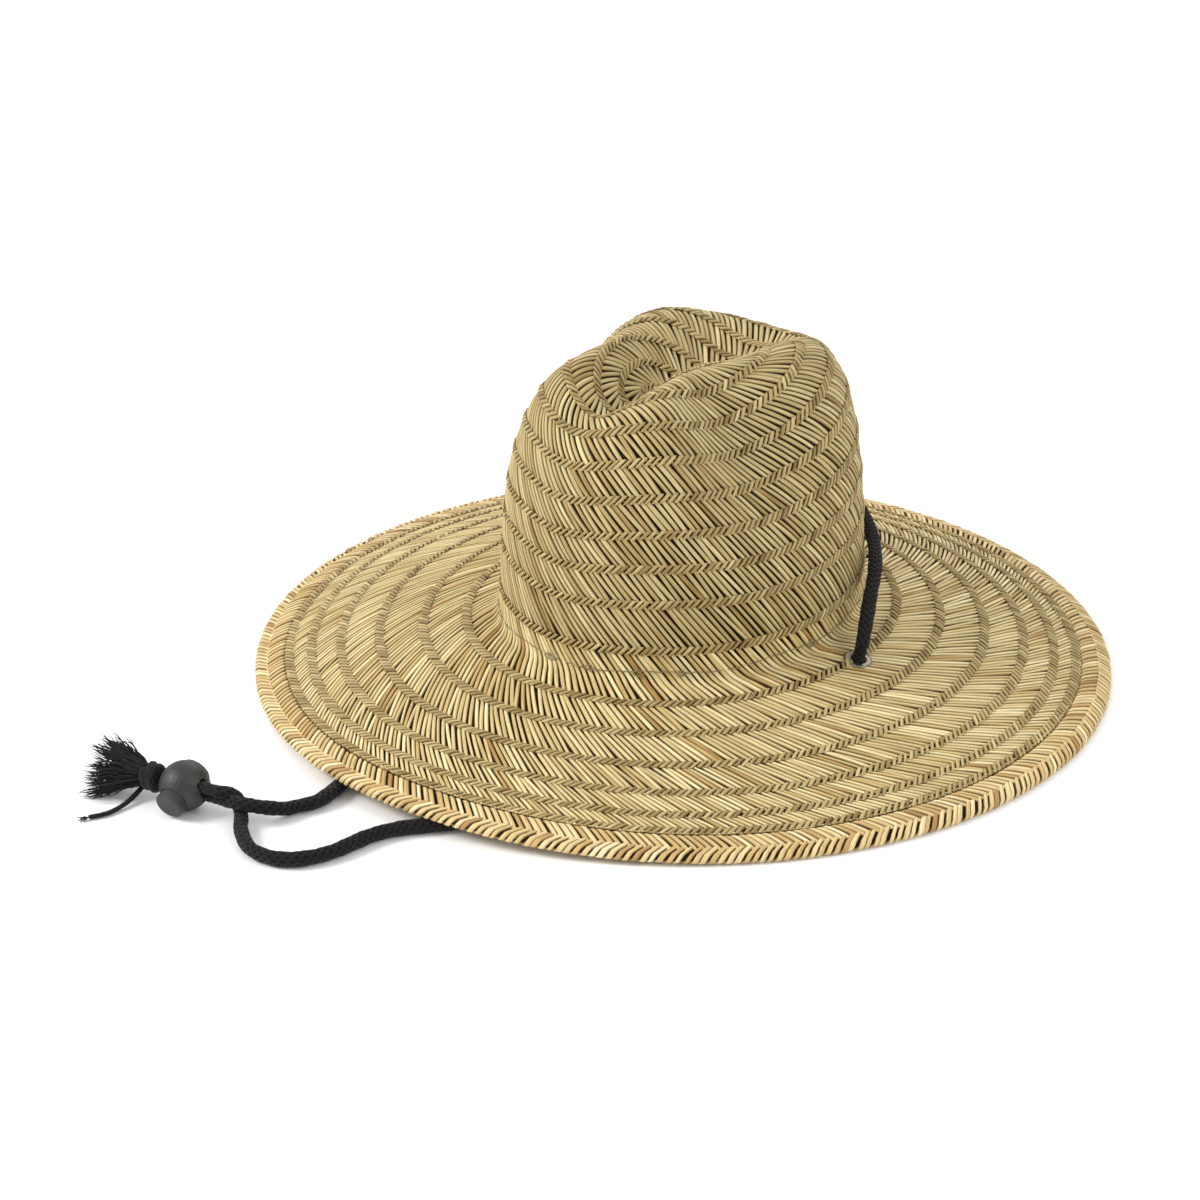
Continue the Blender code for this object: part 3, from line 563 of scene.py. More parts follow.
def eyelet_frame(side):
    """Centre of an eyelet on the brim's top surface and the outward direction of its hole."""
    angle = np.full(1, side * EYELET_ANGLE)
    foot = float(oval(angle, HEAD_LONG, HEAD_WIDE)[0])
    rim = float((oval(angle + BACK, RIM_X, RIM_Y) - BRAID_W)[0])
    out = (EYELET_OUT - FILLET_R) / (rim - foot - FILLET_R)
    centre = Vector(brim_point(angle, np.full(1, out))[0])
    slope = (Vector(brim_point(angle, np.full(1, out + 0.05))[0]) - centre).normalized()
    around = Vector((0, 0, 1)).cross(slope).normalized()
    return centre, slope.cross(around).normalized()


def in_lock(along, across):
    """A place measured from the middle of the ball along the strands and across them."""
    return LOCK_AT + RUN * along + ACROSS * across


def wall_point(azimuth_deg, off, z):
    """A place beside the crown wall, off metres outside its oval."""
    azimuth = math.radians(azimuth_deg)
    radius = float(oval(np.full(1, azimuth - BACK), HEAD_LONG, HEAD_WIDE)[0]) + off
    return Vector((radius * math.cos(azimuth), radius * math.sin(azimuth), z))


def polar(azimuth_deg, radius, z):
    """A place by azimuth in degrees and distance from the hat's axis."""
    azimuth = math.radians(azimuth_deg)
    return Vector((radius * math.cos(azimuth), radius * math.sin(azimuth), z))


def cord_routes():
    """Right strand from the knot to the right eyelet, the stretch round the back of the crown,
    and the left strand from the left eyelet to the knot."""
    ground, half = CORD_D / 2, STRAND_GAP / 2
    (right, right_up), (left, left_up) = eyelet_frame(-1), eyelet_frame(1)
    a = [in_lock(-0.0120, half), in_lock(0.0, half), in_lock(0.0210, half)]
    a += [Vector((-0.2142, -0.1690, 0.0095)), Vector((-0.2112, -0.1775, 0.0040))]
    a += [Vector((-0.2100, -0.1900, ground)), Vector((-0.2030, -0.2080, ground))]
    a += [Vector((-0.1870, -0.2165, ground)), Vector((-0.1680, -0.2110, ground))]
    a += [Vector((-0.1460, -0.1930, ground)), Vector((-0.1200, -0.1850, ground))]
    a += [polar(-108, 0.186, ground), polar(-90, 0.172, ground), polar(-72, 0.163, ground)]
    a += [polar(-56, 0.150, ground + 0.001), polar(-45, 0.130, 0.0075)]
    a += [right - right_up * 0.0160, right - right_up * CORD_UNDER]
    b = [right - right_up * CORD_UNDER, right + right_up * CORD_OVER, right + right_up * 0.0110]
    b += [wall_point(-26, 0.0135, 0.0510), wall_point(-10, 0.0075, 0.0590)]
    b += [wall_point(10, 0.0036, 0.0620), wall_point(30, 0.0034, 0.0660)]
    b += [wall_point(50, 0.0034, 0.0675), wall_point(70, 0.0034, 0.0660)]
    b += [wall_point(90, 0.0036, 0.0620), wall_point(110, 0.0075, 0.0590)]
    b += [wall_point(126, 0.0135, 0.0510), left + left_up * 0.0110, left + left_up * CORD_OVER,
          left - left_up * CORD_UNDER]
    c = [left - left_up * CORD_UNDER, left - left_up * 0.0160]
    c += [polar(145, 0.130, 0.0075), polar(158, 0.150, ground + 0.001), polar(175, 0.170, ground)]
    c += [polar(-170, 0.180, ground), polar(-154, 0.192, ground), polar(-142, 0.205, ground)]
    c += [Vector((-0.1740, -0.1600, ground)), Vector((-0.1880, -0.1690, 0.0036))]
    c += [Vector((-0.2010, -0.1775, 0.0090)), Vector((-0.2115, -0.1775, 0.0112))]
    c += [in_lock(0.0210, -half), in_lock(0.0, -half), in_lock(-0.0120, -half)]
    return a, b, c


def yarn_material():
    """Black polyester yarn: filaments 0.5 mm apart, drawn coarser than real ones so that they show,
    nearly black with a faint brown tint, with painted shade that darkens it between the loops, and a soft
    sheen."""
    s = Shader("black_yarn")
    grain = s.add("Attribute", {}, "Vector", attribute_name="grain")
    loops = s.add("SeparateXYZ", {0: grain}, 2)
    place = s.add("TexCoord", {}, "Object")
    noise = {"Vector": place, "Scale": 1900.0, "Detail": 3.0, "Roughness": 0.7}
    fibre = s.add("TexNoise", noise)
    # Painted shade: the colour follows the loops' height and the fibre noise of the bump, darker where they
    # are low.
    height = s.add("Math", {0: loops, 1: 0.35, 2: 0.5}, operation="MULTIPLY_ADD")
    shade = s.add("Math", {0: height, 1: fibre}, operation="MULTIPLY")
    stops = [(0.10, "#060504"), (0.36, "#120F0D"), (0.7, "#2A2521")]
    colour = s.add("ValToRGB", {0: shade}, stops=stops)
    bump = s.add("Bump", {"Height": fibre, "Strength": 0.6, "Distance": 0.0003})
    s.surface(Base_Color=colour, Roughness=0.85, Sheen_Weight=0.10, Sheen_Roughness=0.5,
              Specular_IOR_Level=0.25, Normal=bump)
    return s.mat


BLACK_YARN = yarn_material()


# ---- kept hard parts and the spring ----
def repaint(mat, *nodes):
    """Gives kept CAD nodes the finish of the real part."""
    for node in nodes:
        for slot_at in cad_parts[node].material_slots:
            slot_at.material = mat


def metal(name, code, rough, scale, wear):
    """Stamped and plated sheet or drawn wire: metallic, a little dulled, with scratches 1 / scale
    metres wide and five times as long."""
    s = Shader(name)
    place = s.add("TexCoord", {}, "Object")
    repeats = (scale, scale, scale * 0.2)
    drawn = s.add("VectorMath", {0: place, 1: repeats}, operation="MULTIPLY")
    noise = {"Vector": drawn, "Scale": 1.0, "Detail": 4.0, "Roughness": 0.6}
    scratch = s.add("TexNoise", noise)
    colour = s.add("ValToRGB", {0: scratch}, stops=[(0.3, wear), (0.6, code)])
    dull = s.add("Math", {0: scratch, 1: 0.2, 2: rough}, operation="MULTIPLY_ADD")
    bump = s.add("Bump", {"Height": scratch, "Strength": 0.2, "Distance": 0.0001})
    s.surface(Base_Color=colour, Roughness=dull, Metallic=1.0, Normal=bump)
    return s.mat


def moulded(name, code, light, rough):
    """Injection moulded ABS: a matte charcoal skin with 0.4 mm grain, rubbed lighter in 6 mm spots."""
    s = Shader(name)
    place = s.add("TexCoord", {}, "Object")
    noise = {"Vector": place, "Scale": 2600.0, "Detail": 3.0, "Roughness": 0.6}
    grain = s.add("TexNoise", noise)
    rubbed = s.add("TexNoise", {**noise, "Scale": 160.0})
    colour = s.add("ValToRGB", {0: rubbed}, stops=[(0.35, code), (0.75, light)])
    matte = s.add("Math", {0: grain, 1: 0.18, 2: rough}, operation="MULTIPLY_ADD")
    bump = s.add("Bump", {"Height": grain, "Strength": 0.25, "Distance": 0.00008})
    s.surface(Base_Color=colour, Roughness=matte, Specular_IOR_Level=0.5, Normal=bump)
    return s.mat


repaint(metal("nickel", "#A39A86", 0.26, 900.0, "#6E6655"), "right_eyelet", "left_eyelet")
repaint(metal("washer_steel", "#A8A49B", 0.32, 700.0, "#77736A"),
        "right_eyelet_washer", "left_eyelet_washer")
repaint(moulded("ball_plastic", "#222221", "#31302E", 0.42), "lock_ball")
repaint(moulded("button_plastic", "#252625", "#353432", 0.48), "lock_button")


def build_spring():
    """Compression spring under the button: wire centre = 5 mm * (cos, sin) of the turn, rising evenly
    from the bore floor over three turns, with closed end coils."""
    mat = metal("spring_steel", "#8E8C88", 0.22, 1500.0, "#5F5C58")
    coil_r, wire_r, gap = 0.0050, 0.00036, 0.0007
    low, high = -0.0102 + gap, -0.0046 - gap
    turn = np.linspace(0, 4.5 * TAU, 190)
    share = np.clip((turn / TAU - 0.75) / 3.0, 0, 1)
    axes = np.array([tuple(RUN), tuple(ACROSS), tuple(PRESS)])
    local = np.stack([coil_r * np.cos(turn), coil_r * np.sin(turn), low + (high - low) * share], axis=-1)
    path = np.array(tuple(LOCK_AT)) + local @ axes
    wire = knitted(path, wire_r, relief=0.0, sides=10, step=0.0006)
    spring = add("spring_coils", wire, mat, ["lock_spring"], body="lock")
    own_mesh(spring)
    return spring


def build_cords():
    """The three stretches of cord: thinner where they pass through the ball and the eyelets, and
    swollen by the loose knit elsewhere."""
    lock = np.array(tuple(LOCK_AT))
    names = ("cord_right_strand", "cord_round_crown", "cord_left_strand")
    made = []
    for name, route in zip(names, cord_routes()):
        path = smooth_route(route, CORD_STEP)
        path[:, 2] = np.maximum(path[:, 2], CORD_LOWEST)
        from_lock = np.linalg.norm(path - lock, axis=1)
        radius = CORD_D / 2 * np.interp(from_lock, [BALL_R + 0.004, BALL_R + 0.014], [0.86, 1.10])
        if name == "cord_round_crown":
            place = np.arange(len(path))
            from_end = np.minimum(place, place[::-1]) * CORD_STEP
            radius = CORD_D / 2 * np.interp(from_end, [0.016, 0.024], [1.0, 1.12])
        obj = add(name, knitted(path, radius, flat=(1.14, 0.98)), BLACK_YARN, ["chin_cord"])
        made.append((obj, path))
    return made


def wrap_path(turns, ring, length, lean):
    """Cord wound round the strands: ring * (cos, sin) about the strand line, stepping along it."""
    a = np.linspace(0, turns * TAU, int(turns * 26))
    along = (a / (turns * TAU) - 0.5) * length + lean * np.sin(a)
    middle = in_lock(-(BALL_R + 0.0006 + KNOT_L / 2), 0.0)
    place = np.array(tuple(middle))[None] + np.outer(along, np.array(tuple(RUN)))
    place += np.outer(ring * np.cos(a), np.array(tuple(ACROSS)))
    return place + np.outer(ring * 0.82 * np.sin(a), np.array(tuple(PRESS)))


def build_knot():
    """Overhand knot: two turns of the cord, and one that crosses over them on the slant."""
    rounds = knitted(wrap_path(2.3, 0.0047, 0.0058, 0.0), 0.0026, wales=6, stitch=0.003)
    over = knitted(wrap_path(1.15, 0.0056, 0.0016, 0.0027), 0.0023, wales=6, stitch=0.003)
    return add("knot_wraps", join([rounds, over]), BLACK_YARN, ["cord_knot"])


def build_tassel():
    """Two cord ends unravelled into yarns that fan out from the knot inside a cone, with finer hairs
    that leave them, and one strand of three plaited plies, side = cos(a) and up = sin(2 a)."""
    local = np.random.default_rng(31)
    made = []
    root = np.array(tuple(in_lock(-(BALL_R + KNOT_L * 0.85), 0.0)))
    ends = (("tassel_upper", "upper_frayed_end", (-0.2815, -0.1375, 0.0185), 0.0125, 190, 0.0012),
            ("tassel_lower", "lower_frayed_end", (-0.2870, -0.1500, 0.0065), 0.0090, 170, -0.0012))
    for name, node, tip, spread, count, up in ends:
        tip = np.array(tip)
        ahead = (tip - root) / np.linalg.norm(tip - root)
        side = np.cross(ahead, [0, 0, 1.0])
        side /= np.linalg.norm(side)
        over = np.cross(side, ahead)
        r = np.sqrt(local.random(count))
        a = local.random(count) * TAU
        disc = side[None] * (r * np.cos(a))[:, None] + over[None] * (r * np.sin(a))[:, None] * 0.75
        start = root[None] + disc * 0.0030 + np.array([0, 0, up])
        reach = np.linalg.norm(tip - root) * (0.72 + 0.36 * local.random(count))
        end = root[None] + ahead[None] * reach[:, None] + disc * spread
        bend = local.standard_normal((count, 3)) * 0.0012
        bend[:, 2] -= 0.0008
        radius = 0.00036 * (1 + 0.2 * local.standard_normal(count)).clip(0.6, 1.5)
        length = np.linalg.norm(end - start, axis=1)
        yarns = strands(start, end - start, length, radius, bend, 41, wave=0.0009)
        pick = local.integers(0, count, 70)
        hair_start = start[pick] + (end - start)[pick] * (0.35 + 0.6 * local.random((70, 1)))
        hair_way = (end - start)[pick] + local.standard_normal((70, 3)) * 0.011
        hairs = strands(hair_start, hair_way, 0.0035 + 0.005 * local.random(70), 0.00008,
                        local.standard_normal((70, 3)) * 0.002, 43, steps=8, sides=4, wave=0.0006)
        made.append(add(name, join([yarns, hairs]), BLACK_YARN, [node]))
    line = smooth_route([(-0.2600, -0.1530, 0.0070), (-0.2655, -0.1590, 0.0030), (-0.2700, -0.1650, 0.0018),
                         (-0.2755, -0.1705, 0.0016), (-0.2835, -0.1740, 0.0015)], 0.0004)
    _, side, up = frames_along(line)
    run = run_along(line)
    plies = []
    for phase in (0.0, TAU / 3, 2 * TAU / 3):
        a = run / 0.0042 * TAU + phase
        ply = line + side * (0.00085 * np.cos(a))[:, None] + up * (0.00050 * np.sin(2 * a))[:, None]
        plies.append(knitted(ply, 0.00062, relief=0.08, wales=3, stitch=0.0012, sides=10, step=0.0003))
    ways = np.array([-0.88, -0.40, -0.03]) + local.standard_normal((14, 3)) * (0.22, 0.22, 0.05)
    tip = strands(np.repeat(line[-1:], 14, axis=0), ways, 0.0030 + 0.003 * local.random(14), 0.00026,
                  local.standard_normal((14, 3)) * 0.0006, 47, steps=8, wave=0.0003)
    made.append(add("loose_plaited_yarn", join(plies + [tip]), BLACK_YARN, ["loose_yarn"]))
    return made


def build_chin_cord():
    """Makes every soft piece of the chin cord."""
    (right, right_path), (back, back_path), (left, left_path) = build_cords()
    on_cord = [build_knot(), build_spring()] + build_tassel()


build_chin_cord()


# ---- weave ----
# Corners across a straw, in half widths. The outermost two are turned down by SKIRT.
SECTION = np.array([-1.0, -0.80, 0.0, 0.80, 1.0])
SKIRT = 0.0007
TONE_SPREAD = 0.18


def straws(skin, count, start, stop, lean, width, rise, seed, side, tuck, rows=9,
           lift=0.0, crown=0.00042, tone_shift=0.0):
    """Leaning straws between two rings: each is a strip along a straight slanted line on the
    unrolled surface. Height = lift + crown * (1 - w^2)^0.6 across it + rise * sin(pi t)^0.45 along
    it, and its ends sink by tuck under the next row. Side -1 is the inside of the hat."""
    local = np.random.default_rng(seed)
    middle = (start + stop) / 2
    begin = skin.even_angles(count, middle, local.random())
    high = (stop - start) * skin.mean_length()
    t = np.linspace(0, 1, rows)[None, :, None]
    w = SECTION[None, None, :]
    slant = lean * (1 + 0.05 * local.standard_normal(count))
    wide = width * (1 + 0.10 * local.standard_normal(count)).clip(0.75, 1.2)
    shift = 0.06 * width * local.standard_normal(count)
    lead = (t - 0.5) * high * slant[:, None, None] + shift[:, None, None]
    taper = 1 - 0.18 * np.abs(2 * t - 1) ** 4
    ring_share = start + (stop - start) * t + 0 * w + 0 * lead
    metres = skin.metres_per_turn(begin[:, None], ring_share[:, :, 0])[..., None]
    angle = begin[:, None, None] + (lead + w * wide[:, None, None] / 2 * taper) / metres
    arch = (1 - w ** 2) ** 0.6 * crown - SKIRT * (np.abs(w) == 1)
    ends = np.sin(math.pi * np.clip(t, 0.02, 0.98)) ** 0.45
    up = 0.00012 * local.standard_normal(count)[:, None, None]
    height = lift + arch + rise * ends - tuck * (1 - ends) + up
    height = height if side > 0 else -STRAW_T - height
    angle, share = np.broadcast_arrays(angle, ring_share)
    points = skin.at(angle, share, np.broadcast_to(height, angle.shape))
    tone = (0.5 + tone_shift + TONE_SPREAD * local.standard_normal(count)).clip(0.02, 1.0)
    grain = np.zeros((count, rows, len(SECTION), 3))
    grain[..., 0] = t * high + local.random(count)[:, None, None] * 3
    grain[..., 1] = w
    grain[..., 2] = tone[:, None, None]
    quads = grid_quads(count, rows, len(SECTION))
    return points.reshape(-1, 3), quads if side > 0 else turned_out(quads), grain.reshape(-1, 3)


# Spacing of the straws, height of a locking row, and lean of each as sideways run over height.
FLOAT_PITCH = 0.0035
STITCH_H = 0.0050
LEAN = 0.72
STITCH_LEAN = -0.90


def weave(skin, marks, side, seed, last=True, tones=None, leans=None, open_start=True):
    """Bands of long straws between the marks and rows of short stitches on them, leaning the other
    way. The first and the last mark have no row where open_start is set and last isn't."""
    length = skin.mean_length()
    half = STITCH_H / 2 / length
    floats, stitches = [], []
    for k, (low, high) in enumerate(zip(marks[:-1], marks[1:])):
        count = max(8, int(round(skin.ring_length((low + high) / 2) / FLOAT_PITCH)))
        shift = 0.0 if tones is None else tones[k]
        over = half * 0.75
        lean = side * (LEAN if leans is None else leans[k])
        floats.append(straws(skin, count, max(low + half - over, 0.0), min(high - half + over, 1.0), lean,
                             FLOAT_PITCH * 0.81, 0.00025, seed + k, side, tuck=0.0004, tone_shift=shift))
    inner = marks[int(open_start):len(marks) - int(not last)]
    for k, mark in enumerate(inner):
        count = max(8, int(round(skin.ring_length(mark) / FLOAT_PITCH)))
        shift = 0.0 if tones is None else tones[min(k, len(tones) - 1)]
        stitches.append(straws(skin, count, mark - half, min(mark + half, 1.0), STITCH_LEAN * side,
                               FLOAT_PITCH * 0.80, 0.00050, seed + 100 + k, side, tuck=0.0003, rows=7,
                               crown=0.00060, tone_shift=shift, lift=0.00025))
    return floats, stitches


def crown_marks():
    """Locking rows of the crown as shares of the meridian, measured up from the brim line."""
    length = CROWN.mean_length()
    up = np.array([20.5, 46.5, 66.0, 84.5, 103.7, 122.5, 140.5, 157.5, 174.0, 189.5, 204.0]) * 1e-3
    inner = 1 - up[::-1] / length
    return np.concatenate([[0.002, inner[0] * 0.42], inner])


def brim_marks():
    """Locking rows of the brim as shares of its width, measured out from the crown."""
    return np.array([13.0, 35.5, 58.5, 78.5, 94.0, 105.3]) * 1e-3 / BRIM.mean_length()


def turn_skin(crown_share, brim_share):
    """The last of the crown, the turn and the first of the brim as one surface."""
    rows = [lambda a, v=v: CROWN.at(a, np.full_like(a, v)) for v in np.linspace(crown_share, 1.0, 30)]
    rows += [lambda a, v=v: BRIM.at(a, np.full_like(a, v)) for v in np.linspace(0.03, brim_share, 12)]
    return Skin(rows)


# Tone and lean of the brim's bands from the crown outwards: they get lighter and lean further.
BRIM_TONES = (0.0, 0.02, 0.04, 0.08, 0.10, 0.02)
BRIM_LEANS = (0.80, 0.90, 1.02, 1.14, 1.22, 1.22)
TIP_BANDS = 7
NEAR_BANDS = 2


def lay(name, parts, mat, slot, *nodes):
    """One piece of woven straw, with the eyelets' holes left open."""
    verts, quads, grain = join(parts)
    add(name, (verts, pierced(verts, quads), grain), mat, nodes)


def build_straw():
    """Every straw of the crown, the turn and the brim, on the outside and then on the inside."""
    c_marks, b_marks = crown_marks(), brim_marks()
    turn = turn_skin(c_marks[-1], b_marks[0])
    edge = 0.38 * STITCH_H / turn.mean_length()
    for side, label in ((1, "outer"), (-1, "inner")):
        seed = 11 if side > 0 else 311
        floats, stitches = weave(CROWN, c_marks, side, seed)
        count = int(round(turn.ring_length(0.6) / FLOAT_PITCH))
        foot = straws(turn, count, edge, 1 - edge, LEAN * side, FLOAT_PITCH * 0.84, 0.00025, seed + 60,
                      side, tuck=0.0003, rows=21)
        lay(f"crown_tip_{label}", floats[:TIP_BANDS], CROWN_STRAW, "crown_straw", "crown_tip_weave")
        lay(f"crown_side_{label}", floats[TIP_BANDS:], CROWN_STRAW, "crown_straw", "crown_side_weave")
        lay(f"crown_rows_{label}", stitches, STITCH_STRAW, "crown_straw", "crown_side_weave")
        lay(f"crown_foot_{label}", [foot], BRIM_STRAW, "brim_straw", "crown_side_weave", "brim_inner_weave")
        marks = np.concatenate([b_marks, [1.0]])
        floats, stitches = weave(BRIM, marks, side, seed + 500, last=False, tones=BRIM_TONES,
                                 leans=BRIM_LEANS, open_start=False)
        near, far = floats[:NEAR_BANDS], floats[NEAR_BANDS:]
        lay(f"brim_near_crown_{label}", near, BRIM_STRAW, "brim_straw", "brim_inner_weave")
        lay(f"brim_far_{label}", far, BRIM_STRAW, "brim_straw", "brim_outer_weave")
        lay(f"brim_rows_{label}", stitches, STITCH_STRAW, "brim_straw", "brim_outer_weave")


CORE_SINK = 0.0004


def build_core(name, skin, nodes, rings):
    """Closed shell inside the weave, coloured with the under straw's painted shade: the surface sunk by
    CORE_SINK from both of its faces.
    """
    around = 480
    angle = np.linspace(0, TAU, around, endpoint=False)[None, :]
    share = np.linspace(0.0, 1.0, rings)[:, None]
    top = skin.at(angle, share, -CORE_SINK)
    low = skin.at(angle, share, -STRAW_T + CORE_SINK)
    verts = np.concatenate([top, low[::-1], top[:1]]).reshape(-1, 3)
    quads = grid_quads(1, 2 * rings + 1, around, closed_cols=True)
    add(name, (verts, pierced(verts, quads), None), UNDER_STRAW_SHADE, nodes)


# Files of the edge plait: where each starts and ends across the section, its slant and its lift.
PLAIT_FILES = ((-0.02, 0.66, 1.0, 0.0), (0.55, 1.18, -1.0, 0.0003),
               (1.08, 1.58, 1.0, 0.0), (1.45, 2.0, -1.0, 0.0002))
PLAIT_PITCH, PLAIT_STRAW, PLAIT_SLANT = 0.0039, 0.0031, 0.0094
PLAIT_R = 0.215


def build_edge():
    """Wide plait on the rim: four files of slanted straws, two on top, one below the edge and one
    underneath, meet in a herringbone. Height = lift + 0.45 mm * (1 - w^2)^0.6 across a straw
    + 0.35 mm * sin(pi t)^0.6 along it, less 0.4 mm where it is tucked in."""
    parts = []
    ring = np.linspace(0, TAU, 721)
    pts = plait_point(ring, np.full_like(ring, 0.9))
    total = np.linalg.norm(np.diff(pts, axis=0), axis=1).sum()
    count = int(round(total / PLAIT_PITCH))
    run = run_along(pts)
    for k, (low, high, sign, lift) in enumerate(PLAIT_FILES):
        local = np.random.default_rng(900 + k)
        begin = np.interp((np.arange(count) + 0.5 * k) / count % 1.0 * run[-1], run, ring)
        rows, cols = 9, len(SECTION)
        t = np.linspace(0, 1, rows)[None, :, None]
        w = SECTION[None, None, :]
        reach = PLAIT_SLANT * sign * (t - 0.5)
        wide = PLAIT_STRAW * (1 + 0.10 * local.standard_normal(count))[:, None, None]
        jitter = 0.0003 * local.standard_normal(count)[:, None, None]
        angle = begin[:, None, None] + (reach + jitter + w * wide / 2) / PLAIT_R
        across = low + (high - low) * t + 0 * angle
        angle, across = np.broadcast_arrays(angle, across)
        here = plait_point(angle, across)
        step = 0.01
        down = plait_point(angle, across + step) - plait_point(angle, across - step)
        along = plait_point(angle + 1e-3, across) - plait_point(angle - 1e-3, across)
        normal = np.cross(down, along)
        normal /= np.linalg.norm(normal, axis=-1, keepdims=True)
        ends = np.sin(math.pi * np.clip(t, 0.03, 0.97)) ** 0.6
        height = lift + 0.00045 * (1 - w ** 2) ** 0.6 + 0.00035 * ends - 0.0004 * (1 - ends)
        height = height - SKIRT * (np.abs(w) == 1)
        height = height + 0.00010 * local.standard_normal(count)[:, None, None]
        points = here + normal * height[..., None]
        tone = (0.50 + 0.22 * local.standard_normal(count)).clip(0.02, 1.0)
        grain = np.zeros(points.shape)
        grain[..., 0] = t * 0.01 + local.random(count)[:, None, None] * 3
        grain[..., 1] = w
        grain[..., 2] = tone[:, None, None]
        parts.append((points.reshape(-1, 3), grid_quads(count, rows, cols), grain.reshape(-1, 3)))
    add("edge_plait", join(parts), EDGE_STRAW, ["brim_edge_braid"])
    # Core of the plait, shrunk inside it and coloured with the under straw's painted shade, which shows
    # dark through the gaps of the herringbone.
    angle = np.linspace(0, TAU, 300, endpoint=False)[None, :]
    across = np.linspace(0.0, 2.0, 41)[:, None]
    angle, across = np.broadcast_arrays(angle, across)
    core = plait_point(angle, across)
    middle = core.mean(axis=0, keepdims=True)
    core = middle + (core - middle) * np.array([0.985, 0.985, 0.72])
    core = np.concatenate([core, core[:1]])
    quads = grid_quads(1, *core.shape[:2], closed_cols=True)
    add("edge_core", (core.reshape(-1, 3), quads, None), UNDER_STRAW_SHADE, ["brim_edge_braid"])


build_straw()
build_core("crown_core", CROWN, ["crown_tip_weave", "crown_side_weave"], 72)
build_core("brim_core", BRIM, ["brim_inner_weave", "brim_outer_weave"], 60)
build_edge()


# ---- thread and sweatband ----
# Height of the running stitch above the brim line, and azimuth and size of its slack loops.
THREAD_UP = 0.0085
SLACK_LOOPS = ((-131, 0.0034), (-118, 0.0030), (-104, 0.0034), (-92, 0.0030),
               (-46, 0.0036), (24, 0.0032), (108, 0.0034), (170, 0.0030))


def build_thread():
    """Clear nylon running stitch round the foot of the crown, in 46 stitches: height above the straw
    = 0.85 mm + 0.5 mm * cos(46 * turn), with a few slack loops, each an ellipse that lies on it."""
    s = Shader("clear_nylon")
    s.surface(Base_Color=srgb("#9A8C62"), Roughness=0.25, Transmission_Weight=0.35, IOR=1.53)
    turn = np.linspace(0, TAU, 2400)
    share = 1 - (THREAD_UP + 0.0009 * np.sin(9 * turn)) / CROWN.mean_length()
    height = 0.00085 + 0.0005 * np.cos(46 * turn)
    path = CROWN.at(turn, share, height)
    parts = [knitted(path, 0.00028, relief=0.0, sides=6, step=0.0009)]
    for azimuth, size in SLACK_LOOPS:
        a = np.linspace(0.15, 1.05, 26) * TAU
        angle = (math.radians(azimuth) - BACK + size / 0.1 * 0.75 * np.cos(a)) % TAU
        share = 1 - (THREAD_UP + size * 0.55 * np.sin(a)) / CROWN.mean_length()
        loop = CROWN.at(angle, share, 0.0014 + 0.0006 * np.sin(a / 2))
        parts.append(knitted(loop, 0.00038, relief=0.0, sides=6, step=0.0004))
    add("thread_stitches", join(parts), s.mat, ["sweatband_thread"])


BAND_R = 0.095
BAND_RIBS = 900


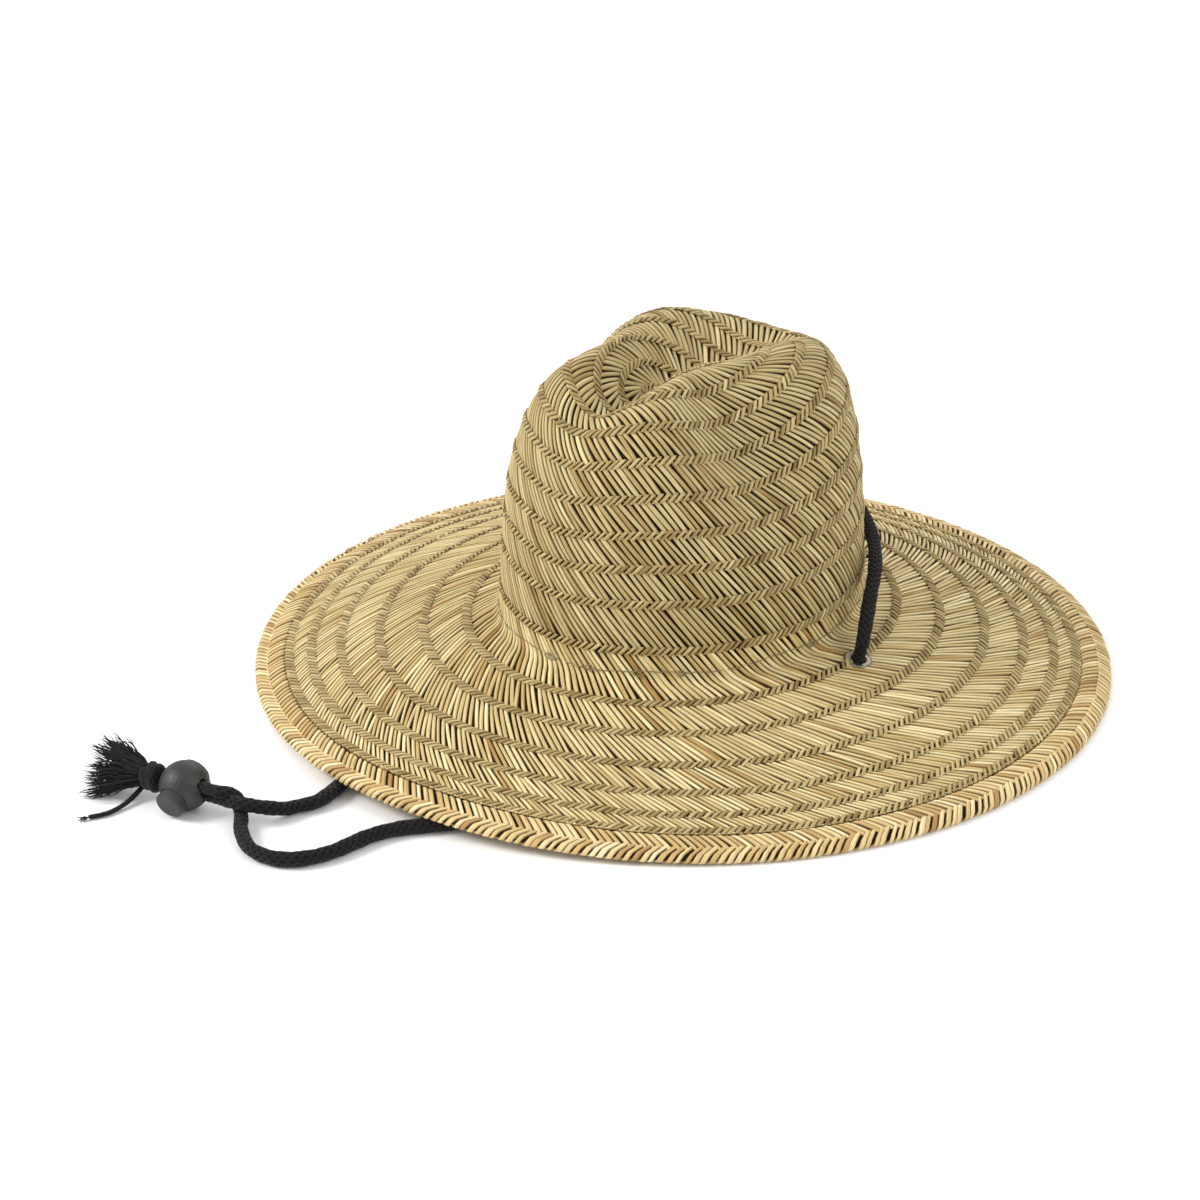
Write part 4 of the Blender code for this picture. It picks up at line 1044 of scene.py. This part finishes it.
def build_sweatband():
    """Knitted elastic band inside the crown foot: a closed oval strip whose face waves by
    0.45 mm * cos(84 * angle) where the elastic gathers it. The cloth is cut 53 mm wide and folded
    double, so its section is a flat closed loop with both edges rolled."""
    s = Shader("band_knit")
    grain = s.add("Attribute", {}, "Vector", attribute_name="grain")
    ribs = s.add("TexWave", {0: grain}, wave_type="BANDS", bands_direction="X")
    noise = {"Vector": grain, "Scale": 1500.0, "Detail": 3.0, "Roughness": 0.7}
    fuzz = s.add("TexNoise", noise)
    # Painted shade: the colour follows the ribs and the fuzz of the bump, darker in the grooves between the
    # ribs.
    shade = s.add("Math", {0: ribs, 1: 0.3}, operation="MULTIPLY")
    shade = s.add("Math", {0: fuzz, 1: 0.5, 2: shade}, operation="MULTIPLY_ADD")
    stops = [(0.2, "#1A1816"), (0.6, "#2C2926"), (0.9, "#3D3934")]
    colour = s.add("ValToRGB", {0: shade}, stops=stops)
    relief = s.add("Math", {0: ribs, 1: fuzz}, operation="ADD")
    bump = s.add("Bump", {"Height": relief, "Strength": 0.5, "Distance": 0.0003})
    s.surface(Base_Color=colour, Roughness=0.9, Sheen_Weight=0.2, Normal=bump)
    angle = np.linspace(0, TAU, 1400, endpoint=False)[:, None]
    t = np.linspace(0, TAU, 37)[None, :]
    low, high = 0.0290, 0.0550
    z = (low + high) / 2 + (high - low) / 2 * np.sign(np.cos(t)) * np.abs(np.cos(t)) ** 0.55
    edge = np.abs(np.cos(t)) ** 10
    depth = (0.00055 + 0.0003 * edge) * np.sin(t)
    gather = 0.00045 * np.cos(84 * angle + 1.3 * np.sin(5 * angle)) * (1 - 0.5 * edge)
    middle = oval(angle, HEAD_LONG, HEAD_WIDE) - 0.0052 + depth + gather
    points = to_world(middle * np.cos(angle), middle * np.sin(angle), z + 0 * middle)
    around = angle + 0 * z
    grain_at = np.stack([around * BAND_R * BAND_RIBS, z * BAND_RIBS + 0 * around, 0 * around], axis=-1)
    loop = np.concatenate([points, points[:1]])
    grain_at = np.concatenate([grain_at, grain_at[:1]])
    quads = grid_quads(1, len(loop), points.shape[1])
    band = add("sweatband_knit", (loop, quads, grain_at), s.mat, ["sweatband"])


build_thread()
build_sweatband()


# ---- floor and light ----
# Name, place, power in watts and width of each soft lamp.
LAMPS = (("key", (-1.6, -0.35, 1.15), 25.0, 0.7), ("fill", (1.3, -0.9, 1.2), 10.0, 1.0),
         ("back", (0.3, 1.6, 1.5), 9.0, 1.2))


def make_stage():
    """White floor, an even white room and three soft lamps turned to the hat."""
    s = Shader("floor_white")
    s.surface(Base_Color=srgb("#FFFFFF"), Roughness=0.9)
    mesh = bpy.data.meshes.new("floor")
    mesh.from_pydata([(-6, -6, 0), (6, -6, 0), (6, 6, 0), (-6, 6, 0)], [], [(0, 1, 2, 3)])
    mesh.materials.append(s.mat)
    floor = bpy.data.objects.new("floor", mesh)
    bpy.context.scene.collection.objects.link(floor)
    world = bpy.data.worlds.new("soft_room")
    bpy.context.scene.world = world
    world.use_nodes = True
    sky = world.node_tree.nodes["Background"]
    sky.inputs["Color"].default_value = (1, 1, 1, 1)
    sky.inputs["Strength"].default_value = 0.75
    for name, place, power, size in LAMPS:
        data = bpy.data.lights.new(name, "AREA")
        data.energy = power
        data.size = size
        lamp = bpy.data.objects.new(name, data)
        bpy.context.scene.collection.objects.link(lamp)
        lamp.location = place
        lamp.rotation_euler = (Vector((0, 0, 0.06)) - Vector(place)).to_track_quat("-Z", "Y").to_euler()
    bpy.context.scene.view_settings.view_transform = "Standard"


make_stage()
